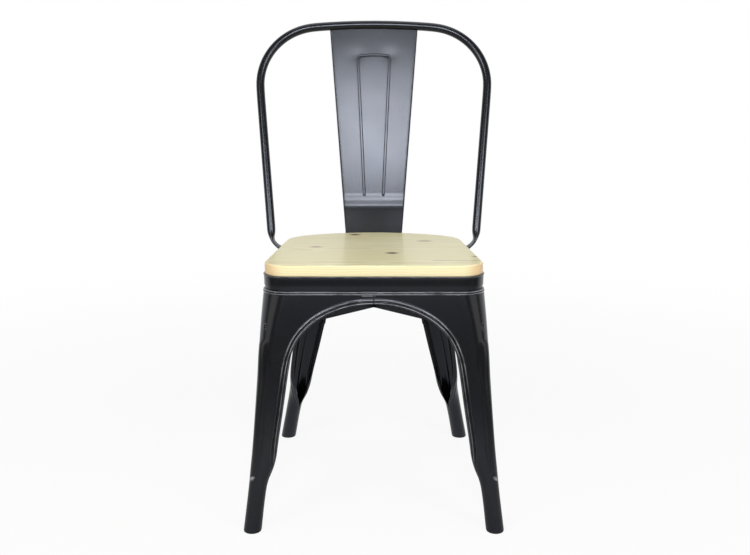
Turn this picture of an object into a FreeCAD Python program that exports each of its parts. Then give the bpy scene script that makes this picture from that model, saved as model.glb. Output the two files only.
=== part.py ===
import FreeCAD, Part
import math
import os
from FreeCAD import Vector

# Metal bistro chair: pressed sheet legs, a bent tube back, a pressed splat and a glued pine seat.
# Millimetres, +Z up, the sitter faces -Y, and the origin is under the middle of the four feet.

# Driving dimensions of the whole chair
SHEET = 1.2
FOOT_Y = 225.5
FRONT_FOOT_X = 204.8
REAR_FOOT_X = 182.1
LEG_TUBE_RADIUS = 13.8
LEG_BOTTOM = 3.0
CORNER_TOP = 400.0
LEG_TOP = 409.0

# Seat outline, seen from above: straight front, tapering sides and a bowed rear
SEAT_FRONT_Y = -206.5
SEAT_REAR_Y = 145.5
FRONT_CORNER_X = 140.0
FRONT_CORNER_RADIUS = 40.0
REAR_CORNER_X = 88.0
REAR_CORNER_Y = 46.5
REAR_CORNER_RADIUS = 75.0
SIDE_SEAM_Y = -24.0

# Seat board and the steel pan below it
BOARD_BOTTOM = 433.0
BOARD_THICKNESS = 18.0
BOARD_INSET = 1.0
BOARD_TOP_ROUND = 2.5
BOARD_BOTTOM_ROUND = 1.2
STAVE_COUNT = 4
PAN_RIM = 1.5
PAN_PLATE = 1.6
SKIRT_INSET = 1.35
SKIRT_BOTTOM = 399.0
SCREW_X = 105.0
SCREW_FRONT_Y = -150.0
SCREW_REAR_Y = 80.0
SCREW_RADIUS = 2.0
SCREW_DEPTH = 13.0
PILOT_CLEARANCE = 0.05
WASHER_RADIUS = 6.0
WASHER_THICKNESS = 1.2
SCREW_HEAD_RADIUS = 4.0
SCREW_HEAD_HEIGHT = 2.4

# Arches cut by the legs' pressed edges
ARCH_TOP = 387.0
FRONT_ARCH_HALF = 137.0
FRONT_ARCH_FOOT = 285.0
REAR_ARCH_HALF = 100.5
REAR_ARCH_FOOT = 225.0
SIDE_ARCH_FRONT_HALF = 136.0
SIDE_ARCH_REAR_HALF = 149.0
SIDE_ARCH_REAR_FOOT = 255.0
FRONT_LEG_END = 292.0
REAR_LEG_END = 262.0
APRON_BLEND = 8.0

# Rolled edges and pressed forms of the legs
LIP_RADIUS = 2.4
LIP_DEPTH = 7.0
TUBE_LIP_RADIUS = 0.5
TUBE_LIP_DEPTH = 0.9
LIP_STARTS = 75.0
LIP_FULL = 140.0
TOP_BEAD = 1.3
TOP_BEAD_DROP = 5.0
STOP_HEIGHT = 318.0
STOP_ANGLE = 42.0
STOP_HALF_ANGLE = 34.0
STOP_HALF_HEIGHT = 17.0
STOP_PROUD = 3.0

# Each leg's stations: height, corner centre x, corner centre y outward, corner radius,
# side turn, main turn (degrees), curl (1/mm) and flange length
TUBE_CURL = 1.0 / LEG_TUBE_RADIUS
TUBE_FLANGE = math.radians(135.0) * LEG_TUBE_RADIUS - 0.3
FRONT_STATIONS = (
    (0.0, FRONT_FOOT_X, FOOT_Y, LEG_TUBE_RADIUS, 0.0, 90.0, TUBE_CURL, TUBE_FLANGE),
    (75.0, 194.8, 219.8, LEG_TUBE_RADIUS, 0.0, 90.0, TUBE_CURL, TUBE_FLANGE),
    (110.0, 190.8, 216.6, 14.0, -1.0, 90.0, 0.042, 29.5),
    (150.0, 186.1, 212.7, 14.4, -2.0, 90.0, 0.006, 27.5),
    (210.0, 179.9, 206.5, 15.5, -3.0, 90.0, 0.0, 30.4),
    (290.0, 169.3, 195.1, 20.0, -4.0, 90.0, 0.0, 32.2),
    (350.0, 156.7, 182.4, 28.4, -4.4, 90.0, 0.0, 33.4),
    (409.0, FRONT_CORNER_X, 166.5, FRONT_CORNER_RADIUS, -4.55, 90.0, 0.0, 33.4),
)
REAR_STATIONS = (
    (0.0, REAR_FOOT_X, FOOT_Y, LEG_TUBE_RADIUS, 0.0, 90.0, TUBE_CURL, TUBE_FLANGE),
    (75.0, 167.1, 208.0, LEG_TUBE_RADIUS, 0.0, 90.0, TUBE_CURL, TUBE_FLANGE),
    (110.0, 160.2, 198.8, 14.0, 3.0, 90.0, 0.042, 29.5),
    (150.0, 153.2, 187.9, 14.6, 6.0, 90.0, 0.006, 27.5),
    (210.0, 141.5, 171.0, 16.0, 9.0, 89.0, 0.0, 30.4),
    (262.0, 129.4, 153.5, 19.5, 10.5, 87.0, 0.0, 31.4),
    (290.0, 123.0, 142.0, 23.0, 10.8, 84.0, 0.0, 33.4),
    (350.0, 107.0, 97.0, 42.0, 11.5, 71.0, 0.0, 33.4),
    (387.0, 93.05, 64.0, 64.0, 8.2, 63.0, 0.0, 33.4),
    (409.0, REAR_CORNER_X, REAR_CORNER_Y, REAR_CORNER_RADIUS, 4.55, 59.5, 0.0, 33.4),
)

# Back hoop: a round tube in a plane that leans back, its ends pressed flat
HOOP_RADIUS = 8.0
HOOP_WALL = 1.2
HOOP_BASE_Y = 94.5
HOOP_BASE_Z = 474.0
HOOP_BASE_X = 194.8
HOOP_LEAN = 19.82
HOOP_CORNER_RADIUS = 113.0
HOOP_CORNER_X = 105.6
HOOP_CORNER_UP = 275.1
HOOP_CROWN = 4.5
HOOP_END_ANGLE = 25.0
HOOP_STRIP_THICKNESS = 3.4
HOOP_STRIP_WIDTH = 22.5

# Back splat: a pressed sheet from the rear of the seat to the hoop
SPLAT_THICKNESS = 1.5
SPLAT_BOTTOM = 412.0
SPLAT_BEND = 499.5
SPLAT_BEND_Y = 149.6
SPLAT_BEND_ROUND = 6.0
SPLAT_STEP = 1.0
SPLAT_STEP_FROM = 512.0
SPLAT_STEP_TO = 526.0
SPLAT_TOP = 836.0
SPLAT_TOP_Y = 225.6
SPLAT_HALF_BOTTOM = 51.5
SPLAT_HALF_TOP = 84.5
GROOVE_TOP = 786.0
GROOVE_BOTTOM = 524.0
GROOVE_HALF_TOP = 31.0
GROOVE_HALF_BOTTOM = 18.5
GROOVE_WIDTH = 6.5
GROOVE_DEPTH = 1.6

# Cross brace under the seat: two bars on edge, halved over each other
BRACE_BOTTOM = 339.5
BRACE_HEIGHT = 20.0
BRACE_THICKNESS = 3.0
BRACE_FIT = 0.05
BRACE_MEETS = 46.0
BRACE_STANDS_OFF = 2.6

# Weld beads
BEAD_END_ROUND = 0.85
BEAD_TURN = 37.0
SEAM_BEAD_RADIUS = 1.7
SEAM_BEAD_LENGTH = 11.0
HOOP_BEAD_RADIUS = 1.6
SPLAT_BEAD_RADIUS = 3.4
SPLAT_BEAD_X = 34.0
BRACE_BEAD_RADIUS = 4.2

# Foot caps
CAP_RADIUS = 14.8
CAP_HEIGHT = 12.0
CAP_PLUG_RADIUS = 11.8
CAP_PLUG_TOP = 18.0
CAP_ROUND = 1.6
CONTACT_GAP = 0.02


def blend(value, low, high):
    """Smooth step from 0 at low to 1 at high."""
    t = min(1.0, max(0.0, (value - low) / (high - low)))
    return t * t * (3.0 - 2.0 * t)


def station(stations, z):
    """The station's values at height z, by a smooth curve through the table."""
    count = len(stations)
    i = 0
    while i < count - 2 and z > stations[i + 1][0]:
        i += 1
    a, b = stations[i], stations[i + 1]
    before = stations[i - 1] if i > 0 else a
    after = stations[i + 2] if i + 2 < count else b
    span = b[0] - a[0]
    t = min(1.0, max(0.0, (z - a[0]) / span))
    values = []
    for k in range(1, len(a)):
        chord = (b[k] - a[k]) / span
        start = (b[k] - before[k]) / (b[0] - before[0]) if before is not a else chord
        end = (after[k] - a[k]) / (after[0] - a[0]) if after is not b else chord
        h00 = 2 * t ** 3 - 3 * t ** 2 + 1
        h10 = t ** 3 - 2 * t ** 2 + t
        h01 = -2 * t ** 3 + 3 * t ** 2
        h11 = t ** 3 - t ** 2
        values.append(h00 * a[k] + h10 * span * start + h01 * b[k] + h11 * span * end)
    return values


def section(stations, z):
    """Corner centre, radius, end angles and flange curvatures of a leg at height z."""
    x, y, radius, side, main, curl, flange = station(stations, z)
    side = math.radians(side)
    main = math.radians(main)
    bow = curl
    if math.cos(main) > 0.001:
        bow += 1.0 / (radius + x / math.cos(main))
    return x, y, radius, side, main, bow, curl, flange


def walk(x, y, angle, curvature, turn, distance):
    """Point and normal angle after a distance along a flange that curves by curvature."""
    if abs(curvature) < 1e-7:
        return x - turn * math.sin(angle) * distance, y + turn * math.cos(angle) * distance, angle
    end = angle + turn * curvature * distance
    x += (math.cos(end) - math.cos(angle)) / curvature
    y += (math.sin(end) - math.sin(angle)) / curvature
    return x, y, end


def main_reach(stations, z, x_edge):
    """Length of the main flange from its corner to the wanted x at height z."""
    x, y, radius, side, main, bow, curl, flange = section(stations, z)
    start = x + radius * math.cos(main)
    if bow < 1e-7:
        return (start - x_edge) / math.sin(main)
    return (math.acos(math.cos(main) + bow * (x_edge - start)) - main) / bow


def side_reach(stations, z, y_edge):
    """Length of the side flange from its corner to the wanted y at height z."""
    x, y, radius, side, main, bow, curl, flange = section(stations, z)
    return (y + radius * math.sin(side) - y_edge) / math.cos(side)


def edge_profile(z, apron):
    """Depth and bend radius of the rolled edge at height z, none along the apron's seam."""
    grown = blend(z, LIP_STARTS, LIP_FULL) * (1.0 - apron)
    depth = TUBE_LIP_DEPTH + (LIP_DEPTH - TUBE_LIP_DEPTH) * grown
    radius = TUBE_LIP_RADIUS + (LIP_RADIUS - TUBE_LIP_RADIUS) * grown
    return depth, radius


def top_bead(z):
    """How far the panel stands out below its crimped top edge."""
    return TOP_BEAD * blend(LEG_TOP - z, 0.0, TOP_BEAD_DROP)


def stacking_stop(z, angle):
    """Height of the pressed stop on the front legs' corner."""
    up = (z - STOP_HEIGHT) / STOP_HALF_HEIGHT
    across = (math.degrees(angle) - STOP_ANGLE) / STOP_HALF_ANGLE
    square = up * up + across * across
    return STOP_PROUD * (1.0 - square) ** 2 if square < 1.0 else 0.0


FLANGE_COLUMNS = 9
CORNER_COLUMNS = 8
LEG_ROWS = 20
ARCH_ROWS = 15
SEAM_ROWS = 5


def leg_rows(stations, main_half, main_foot, side_half, side_foot, seam_y, leg_end):
    """Rows up a leg: corner height, then height, reach and apron share of both edges."""
    rows = []
    for i in range(LEG_ROWS):
        z = LEG_BOTTOM + (leg_end - LEG_BOTTOM) * i / LEG_ROWS
        flange = section(stations, z)[7]
        rows.append((z, z, flange, 0.0, z, flange, 0.0))
    start_main = math.asin((leg_end - main_foot) / (ARCH_TOP - main_foot))
    start_side = math.asin((leg_end - side_foot) / (ARCH_TOP - side_foot))
    for i in range(ARCH_ROWS + 1):
        t = i / ARCH_ROWS
        z = leg_end + (CORNER_TOP - leg_end) * t
        angle = start_main + (math.pi / 2 - start_main) * t
        main_z = main_foot + (ARCH_TOP - main_foot) * math.sin(angle)
        reach = main_reach(stations, main_z, main_half * math.cos(angle))
        angle = start_side + (math.pi / 2 - start_side) * t
        side_z = side_foot + (ARCH_TOP - side_foot) * math.sin(angle)
        side = side_reach(stations, side_z, seam_y + side_half * math.cos(angle))
        rows.append((z, main_z, reach, 0.0, side_z, side, 0.0))
    for i in range(1, SEAM_ROWS + 1):
        t = i / SEAM_ROWS
        z = CORNER_TOP + (LEG_TOP - CORNER_TOP) * t
        edge = ARCH_TOP + (LEG_TOP - ARCH_TOP) * t
        apron = blend(edge, ARCH_TOP, ARCH_TOP + APRON_BLEND)
        reach = main_reach(stations, edge, 0.0)
        side = side_reach(stations, edge, seam_y)
        rows.append((z, edge, reach, apron, edge, side, apron))
    return rows


def flange_points(stations, corner_z, edge_z, reach, apron, turn, stop):
    """Outer points and normals of one flange, from its corner to the end of its rolled edge."""
    depth, bend = edge_profile(edge_z, apron)
    steps = [(i / FLANGE_COLUMNS * (reach - bend), 0.0, 0.0) for i in range(1, FLANGE_COLUMNS + 1)]
    for angle in (30.0, 60.0, 90.0):
        a = math.radians(angle)
        steps.append((reach - bend + bend * math.sin(a), bend * (1.0 - math.cos(a)), a))
    steps.append((reach, (bend + depth) / 2.0, math.pi / 2))
    steps.append((reach, depth, math.pi / 2))
    points = []
    for along, inward, tilt in steps:
        share = min(1.0, along / reach) ** 1.6
        z = corner_z + (edge_z - corner_z) * share
        x, y, radius, side, main, bow, curl, flange = section(stations, z)
        angle = main if turn > 0 else side
        curvature = bow if turn > 0 else curl
        x += radius * math.cos(angle)
        y += radius * math.sin(angle)
        x, y, angle = walk(x, y, angle, curvature, turn, along)
        proud = top_bead(z) - inward + (stacking_stop(z, angle) if stop else 0.0)
        normal = (math.cos(angle), math.sin(angle))
        onward = (-turn * math.sin(angle), turn * math.cos(angle))
        facing = Vector(
            normal[0] * math.cos(tilt) + onward[0] * math.sin(tilt),
            normal[1] * math.cos(tilt) + onward[1] * math.sin(tilt),
            0.0,
        )
        points.append((Vector(x + proud * normal[0], y + proud * normal[1], z), facing))
    return points


def corner_points(stations, z, stop):
    """Outer points and normals round the leg's corner at height z, from side to main."""
    x, y, radius, side, main, bow, curl, flange = section(stations, z)
    points = []
    for i in range(CORNER_COLUMNS):
        angle = side + (main - side) * i / (CORNER_COLUMNS - 1)
        reach = radius + top_bead(z)
        if stop:
            reach += stacking_stop(z, angle)
        normal = Vector(math.cos(angle), math.sin(angle), 0.0)
        points.append((Vector(x + reach * normal.x, y + reach * normal.y, z), normal))
    return points


def leg_grid(stations, rows, stop):
    """Grid of outer points and of the inner points one sheet thickness behind them."""
    outer = []
    inner = []
    for z, main_z, main_length, main_apron, side_z, side_length, side_apron in rows:
        side = flange_points(stations, z, side_z, side_length, side_apron, -1.0, stop)
        main = flange_points(stations, z, main_z, main_length, main_apron, 1.0, stop)
        row = side[::-1] + corner_points(stations, z, stop) + main
        outer.append([point for point, facing in row])
        inner.append([point - facing * SHEET for point, facing in row])
    return outer, inner


def knots(count, degree):
    """Knots and multiplicities of a clamped, even spline with count poles."""
    spans = count - degree
    return [float(i) for i in range(spans + 1)], [degree + 1] + [1] * (spans - 1) + [degree + 1]


def patch(grid, degree_u=3, degree_v=3):
    """Spline face whose control points are the grid."""
    knots_u, mults_u = knots(len(grid), degree_u)
    knots_v, mults_v = knots(len(grid[0]), degree_v)
    surface = Part.BSplineSurface()
    surface.buildFromPolesMultsKnots(grid, mults_u, mults_v, knots_u, knots_v, False, False, degree_u, degree_v)
    return surface.toShape()


def solid_from(faces):
    """Closed solid sewn from faces that share their edges, facing outwards."""
    shell = Part.makeShell(faces)
    shell.sewShape()
    solid = Part.Solid(shell)
    if solid.Volume < 0:
        solid.reverse()
    return solid


def sheet_solid(outer, inner):
    """Solid between an outer and an inner grid of control points."""
    faces = [patch(outer), patch(inner)]
    for i in (0, -1):
        faces.append(patch([outer[i], inner[i]], 1, 3))
        faces.append(patch([[row[i] for row in outer], [row[i] for row in inner]], 1, 3))
    return solid_from(faces)


def placed(grid, sign_x, sign_y):
    """The grid moved from its own quarter to the leg's place."""
    return [[Vector(sign_x * p.x, sign_y * p.y, p.z) for p in row] for row in grid]


def make_legs():
    """The four pressed legs, each with its halves of the two aprons beside it."""
    front = leg_rows(FRONT_STATIONS, FRONT_ARCH_HALF, FRONT_ARCH_FOOT,
                     SIDE_ARCH_FRONT_HALF, FRONT_ARCH_FOOT, -SIDE_SEAM_Y, FRONT_LEG_END)
    rear = leg_rows(REAR_STATIONS, REAR_ARCH_HALF, REAR_ARCH_FOOT,
                    SIDE_ARCH_REAR_HALF, SIDE_ARCH_REAR_FOOT, SIDE_SEAM_Y, REAR_LEG_END)
    grids = {
        "front": (leg_grid(FRONT_STATIONS, front, True), -1.0),
        "rear": (leg_grid(REAR_STATIONS, rear, False), 1.0),
    }
    legs = {}
    for end, (grid, sign_y) in grids.items():
        for side, sign_x in (("left", -1.0), ("right", 1.0)):
            outer, inner = grid
            legs[f"{end}_{side}_leg"] = sheet_solid(
                placed(outer, sign_x, sign_y), placed(inner, sign_x, sign_y))
    return legs


def arc_through(centre, radius, start, end, z):
    """Arc edge about centre from angle start to angle end, at height z."""
    ends = []
    for angle in (start, (start + end) / 2.0, end):
        ends.append(Vector(centre[0] + radius * math.cos(angle), centre[1] + radius * math.sin(angle), z))
    return Part.Arc(*ends).toShape()


def seat_outline(offset, z):
    """Face with the seat's outline, grown by offset, at height z."""
    front = (FRONT_CORNER_X, SEAT_FRONT_Y + FRONT_CORNER_RADIUS)
    rear = (REAR_CORNER_X, REAR_CORNER_Y)
    reach = math.hypot(rear[0] - front[0], rear[1] - front[1])
    heading = math.atan2(rear[1] - front[1], rear[0] - front[0])
    side = heading - math.acos((FRONT_CORNER_RADIUS - REAR_CORNER_RADIUS) / reach)
    rise = SEAT_REAR_Y - REAR_CORNER_Y
    bow = (rear[0] ** 2 + rise ** 2 - REAR_CORNER_RADIUS ** 2) / (2.0 * (rise - REAR_CORNER_RADIUS))
    bow_y = SEAT_REAR_Y - bow
    turn = math.atan2(REAR_CORNER_Y - bow_y, rear[0])
    front_radius = FRONT_CORNER_RADIUS + offset
    rear_radius = REAR_CORNER_RADIUS + offset
    half = math.pi
    edges = [
        arc_through(front, front_radius, -half / 2, side, z),
        arc_through(rear, rear_radius, side, turn, z),
        arc_through((0.0, bow_y), bow + offset, turn, half - turn, z),
        arc_through((-rear[0], rear[1]), rear_radius, half - turn, half - side, z),
        arc_through((-front[0], front[1]), front_radius, half - side, 1.5 * half, z),
    ]
    sides = []
    for first, second in ((0, 1), (3, 4), (4, 0)):
        start = edges[first].Curve.value(edges[first].LastParameter)
        end = edges[second].Curve.value(edges[second].FirstParameter)
        sides.append(Part.LineSegment(start, end).toShape())
    wire = Part.Wire([edges[0], sides[0], edges[1], edges[2], edges[3], sides[1], edges[4], sides[2]])
    return Part.Face(wire)


def screw_places():
    """Where the four screws come up through the pan."""
    return [(x, y) for x in (-SCREW_X, SCREW_X) for y in (SCREW_FRONT_Y, SCREW_REAR_Y)]


def make_pan():
    """Seat pan: a flat plate with a rolled rim and a skirt that the legs are welded to."""
    top = BOARD_BOTTOM - PAN_PLATE
    plate = seat_outline(PAN_RIM, top).extrude(Vector(0, 0, PAN_PLATE))
    rim = [e for e in plate.Edges if abs(e.BoundBox.ZMax - e.BoundBox.ZMin) < 0.01]
    plate = plate.makeFillet(PAN_PLATE * 0.45, rim)
    depth = top - SKIRT_BOTTOM
    skirt = seat_outline(-SKIRT_INSET, SKIRT_BOTTOM).extrude(Vector(0, 0, depth))
    hollow = seat_outline(-SKIRT_INSET - SHEET, SKIRT_BOTTOM).extrude(Vector(0, 0, depth))
    pan = plate.fuse(skirt.cut(hollow))
    for x, y in screw_places():
        hole = Part.makeCylinder(SCREW_RADIUS + PILOT_CLEARANCE, 2 * PAN_PLATE, Vector(x, y, top - 0.5))
        pan = pan.cut(hole)
    return pan


def make_staves():
    """Seat board: pine staves glued edge to edge, running from side to side."""
    board = seat_outline(-BOARD_INSET, BOARD_BOTTOM).extrude(Vector(0, 0, BOARD_THICKNESS))
    top = BOARD_BOTTOM + BOARD_THICKNESS
    upper = [e for e in board.Edges if e.BoundBox.ZMin > top - 0.01]
    board = board.makeFillet(BOARD_TOP_ROUND, upper)
    lower = [e for e in board.Edges if e.BoundBox.ZMax < BOARD_BOTTOM + 0.01]
    board = board.makeFillet(BOARD_BOTTOM_ROUND, lower)
    for x, y in screw_places():
        hole = Part.makeCylinder(SCREW_RADIUS + PILOT_CLEARANCE, SCREW_DEPTH, Vector(x, y, BOARD_BOTTOM))
        board = board.cut(hole)
    width = (SEAT_REAR_Y - SEAT_FRONT_Y) / STAVE_COUNT
    staves = {}
    for i in range(STAVE_COUNT):
        slab = Part.makeBox(400.0, width, 2 * BOARD_THICKNESS,
                            Vector(-200.0, SEAT_FRONT_Y + i * width, BOARD_BOTTOM - 1.0))
        staves[f"seat_stave_{i + 1}"] = board.common(slab)
    return staves


def make_screws():
    """Wood screws and the washers under their heads."""
    screws = []
    washers = []
    under = BOARD_BOTTOM - PAN_PLATE
    for x, y in screw_places():
        head_top = under - WASHER_THICKNESS
        shank = Part.makeCylinder(SCREW_RADIUS, SCREW_DEPTH + PAN_PLATE + WASHER_THICKNESS - 1.0,
                                  Vector(x, y, head_top))
        head = Part.makeCylinder(SCREW_HEAD_RADIUS, SCREW_HEAD_HEIGHT,
                                 Vector(x, y, head_top - SCREW_HEAD_HEIGHT))
        low = [e for e in head.Edges if e.BoundBox.ZMax < head_top - SCREW_HEAD_HEIGHT + 0.01]
        screws.append(head.makeFillet(1.2, low).fuse(shank))
        ring = Part.makeCylinder(WASHER_RADIUS, WASHER_THICKNESS, Vector(x, y, head_top))
        bore = Part.makeCylinder(SCREW_RADIUS + PILOT_CLEARANCE, WASHER_THICKNESS, Vector(x, y, head_top))
        washers.append(ring.cut(bore))
    return Part.makeCompound(screws), Part.makeCompound(washers)


RING_POINTS = 12


def ring(centre, thin, wide, thickness, width):
    """Closed ring of control points, round or pressed flat, about centre."""
    points = []
    grow = 3.0 / (2.0 + math.cos(2 * math.pi / RING_POINTS))
    flat = 1.0 - thickness / width
    for i in range(RING_POINTS):
        angle = 2 * math.pi * i / RING_POINTS
        power = 1.0 - 0.45 * flat
        across = math.copysign(abs(math.cos(angle)) ** power, math.cos(angle))
        along = math.sin(angle)
        points.append(centre + thin * (grow * across * thickness / 2) + wide * (grow * along * width / 2))
    return points


def tube_solid(rings):
    """Solid through closed rings of control points, with flat ends."""
    count = len(rings)
    knots_u, mults_u = knots(count, 3)
    around = len(rings[0])
    surface = Part.BSplineSurface()
    surface.buildFromPolesMultsKnots(rings, mults_u, [1] * (around + 1), knots_u,
                                     [float(i) for i in range(around + 1)], False, True, 3, 3)
    wall = surface.toShape()
    faces = [wall]
    for value in (knots_u[0], knots_u[-1]):
        faces.append(Part.Face(Part.Wire([surface.uIso(value).toShape()])))
    return solid_from(faces)


def hoop_point(x, up):
    """Point of the hoop's leaning plane."""
    lean = math.radians(HOOP_LEAN)
    return Vector(x, HOOP_BASE_Y + up * math.sin(lean), HOOP_BASE_Z + up * math.cos(lean))


def hoop_half():
    """Centre line of the hoop's right half, from the crown to the flattened end."""
    rise = HOOP_CORNER_RADIUS + HOOP_CROWN
    crown = (HOOP_CORNER_X ** 2 + rise ** 2 - HOOP_CORNER_RADIUS ** 2) / (2.0 * HOOP_CROWN)
    crown_up = HOOP_CORNER_UP + rise - crown
    turn = math.atan2(HOOP_CORNER_UP - crown_up, HOOP_CORNER_X)
    lean = math.asin((HOOP_CORNER_RADIUS - (HOOP_BASE_X - HOOP_CORNER_X)) / HOOP_CORNER_UP)
    path = []
    for i in range(1, 6):
        angle = math.pi / 2 + (turn - math.pi / 2) * i / 5
        path.append(hoop_point(crown * math.cos(angle), crown_up + crown * math.sin(angle)))
    for i in range(1, 12):
        angle = turn + (-lean - turn) * i / 11
        path.append(hoop_point(HOOP_CORNER_X + HOOP_CORNER_RADIUS * math.cos(angle),
                               HOOP_CORNER_UP + HOOP_CORNER_RADIUS * math.sin(angle)))
    last = path[-1]
    base = hoop_point(HOOP_BASE_X, 0.0)
    for i in range(1, 6):
        path.append(last + (base - last) * (i / 5))
    return path


def hoop_end():
    """Centre line, thickness and twist of the flattened end, from the tube to the skirt."""
    angle = math.radians(HOOP_END_ANGLE)
    reach = REAR_CORNER_RADIUS - SKIRT_INSET + HOOP_STRIP_THICKNESS / 2 + CONTACT_GAP
    foot_x = REAR_CORNER_X + reach * math.cos(angle)
    foot_y = REAR_CORNER_Y + reach * math.sin(angle)
    return [
        (Vector(194.0, 91.0, 463.0), 16.0, 16.0, 0.0),
        (Vector(193.6, 89.0, 456.5), 14.0, 17.6, 0.0),
        (Vector(192.8, 87.0, 450.5), 10.0, 20.2, 0.0),
        (Vector(191.0, 85.2, 445.0), 6.0, 22.0, 2.0),
        (Vector(187.4, 83.8, 440.0), 4.2, HOOP_STRIP_WIDTH, 5.0),
        (Vector(182.4, 82.4, 435.4), HOOP_STRIP_THICKNESS, HOOP_STRIP_WIDTH, 9.0),
        (Vector(176.4, 81.0, 431.4), HOOP_STRIP_THICKNESS, HOOP_STRIP_WIDTH, 14.0),
        (Vector(169.8, 79.8, 427.8), HOOP_STRIP_THICKNESS, HOOP_STRIP_WIDTH, 19.0),
        (Vector(163.4, 78.8, 424.6), HOOP_STRIP_THICKNESS, HOOP_STRIP_WIDTH, 23.0),
        (Vector(foot_x + 2.0, foot_y + 0.6, 421.0), HOOP_STRIP_THICKNESS, HOOP_STRIP_WIDTH, 25.0),
        (Vector(foot_x, foot_y, 417.2), HOOP_STRIP_THICKNESS, HOOP_STRIP_WIDTH, 25.0),
        (Vector(foot_x, foot_y, 413.6), HOOP_STRIP_THICKNESS, HOOP_STRIP_WIDTH, 25.0),
        (Vector(foot_x, foot_y, 410.6), HOOP_STRIP_THICKNESS, HOOP_STRIP_WIDTH, 25.0),
    ]


def hoop_rings():
    """Rings of the right half of the hoop, from the crown's middle to the end."""
    stops = [(p, 2 * HOOP_RADIUS, 2 * HOOP_RADIUS, 0.0) for p in hoop_half()]
    stops += hoop_end()
    crown = hoop_point(0.0, HOOP_CORNER_UP + HOOP_CORNER_RADIUS + HOOP_CROWN)
    centres = [crown] + [stop[0] for stop in stops]
    sizes = [(2 * HOOP_RADIUS, 2 * HOOP_RADIUS, 0.0)] + [stop[1:] for stop in stops]
    rings = []
    for i, (centre, size) in enumerate(zip(centres, sizes)):
        before = centres[i - 1] if i > 0 else Vector(-centres[1].x, centres[1].y, centres[1].z)
        after = centres[i + 1] if i + 1 < len(centres) else centre + (centre - centres[i - 1])
        heading = (after - before).normalize()
        twist = math.radians(size[2])
        wide = Vector(-math.sin(twist), math.cos(twist), 0.0)
        wide = (wide - heading * wide.dot(heading)).normalize()
        thin = wide.cross(heading).normalize()
        rings.append((centre, thin, wide, size[0], size[1]))
    return rings


def hoop_stops():
    """Every ring of the hoop, from the left end over the crown to the right end."""
    half = hoop_rings()
    mirror = []
    for centre, thin, wide, thickness, width in half[:0:-1]:
        mirror.append((Vector(-centre.x, centre.y, centre.z), Vector(-thin.x, thin.y, thin.z),
                       Vector(-wide.x, wide.y, wide.z), thickness, width))
    return mirror + half


def make_hoop():
    """Back hoop as it fills space, and hollow down to its flattened ends."""
    stops = hoop_stops()
    outer = tube_solid([ring(*stop) for stop in stops])
    bore = [stop for stop in stops if stop[3] > 2 * HOOP_RADIUS - 0.01]
    shrink = 2 * HOOP_WALL
    inner = tube_solid([ring(c, t, w, a - shrink, b - shrink) for c, t, w, a, b in bore])
    return outer, outer.cut(inner)


def splat_half_width(z):
    """Half width of the splat at height z."""
    share = (z - SPLAT_BOTTOM) / (SPLAT_TOP - SPLAT_BOTTOM)
    return SPLAT_HALF_BOTTOM + (SPLAT_HALF_TOP - SPLAT_HALF_BOTTOM) * share


def splat_front_y(x, z):
    """Front face of the splat: it rises from the bowed rim, folds, steps and leans back to the hoop."""
    rise = SEAT_REAR_Y - REAR_CORNER_Y
    bow = (REAR_CORNER_X ** 2 + rise ** 2 - REAR_CORNER_RADIUS ** 2) / (2.0 * (rise - REAR_CORNER_RADIUS))
    rim = SEAT_REAR_Y + PAN_RIM + CONTACT_GAP
    lower = rim + (SPLAT_BEND_Y - rim) * max(0.0, z - BOARD_BOTTOM) / (SPLAT_BEND - BOARD_BOTTOM)
    slope = (SPLAT_TOP_Y - SPLAT_STEP - SPLAT_BEND_Y) / (SPLAT_TOP - SPLAT_BEND)
    upper = SPLAT_BEND_Y + slope * (z - SPLAT_BEND) + SPLAT_STEP * blend(z, SPLAT_STEP_FROM, SPLAT_STEP_TO)
    share = blend(z, SPLAT_BEND - SPLAT_BEND_ROUND, SPLAT_BEND + SPLAT_BEND_ROUND)
    middle = lower + (upper - lower) * share
    curved = 1.0 - blend(z, BOARD_BOTTOM, SPLAT_BEND)
    return middle - curved * (x * x) / (2.0 * (bow + PAN_RIM))


def groove(x, z):
    """Depth of the pressed groove, an inverted U with converging legs."""
    half = GROOVE_HALF_BOTTOM + (GROOVE_HALF_TOP - GROOVE_HALF_BOTTOM) * (
        (z - GROOVE_BOTTOM) / (GROOVE_TOP - GROOVE_BOTTOM))
    side = abs(abs(x) - half)
    top = abs(z - GROOVE_TOP)
    reach = GROOVE_WIDTH / 2
    legs = max(0.0, 1.0 - (side / reach) ** 2) if GROOVE_BOTTOM < z < GROOVE_TOP + reach else 0.0
    bar = max(0.0, 1.0 - (top / reach) ** 2) if abs(x) < half + reach else 0.0
    return GROOVE_DEPTH * max(legs, bar)


def splat_columns(z):
    """Column places across the right half of the splat, close together at the groove."""
    half = GROOVE_HALF_BOTTOM + (GROOVE_HALF_TOP - GROOVE_HALF_BOTTOM) * (
        (z - GROOVE_BOTTOM) / (GROOVE_TOP - GROOVE_BOTTOM))
    edge = splat_half_width(z)
    near = [half + step * GROOVE_WIDTH / 2 for step in (-1.6, -1.0, -0.5, 0.0, 0.5, 1.0, 1.6)]
    inner = [near[0] * k / 3 for k in (0, 1, 2)]
    outer = [near[-1] + (edge - near[-1]) * k / 4 for k in (1, 2, 3, 4)]
    return inner + near + outer


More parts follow.
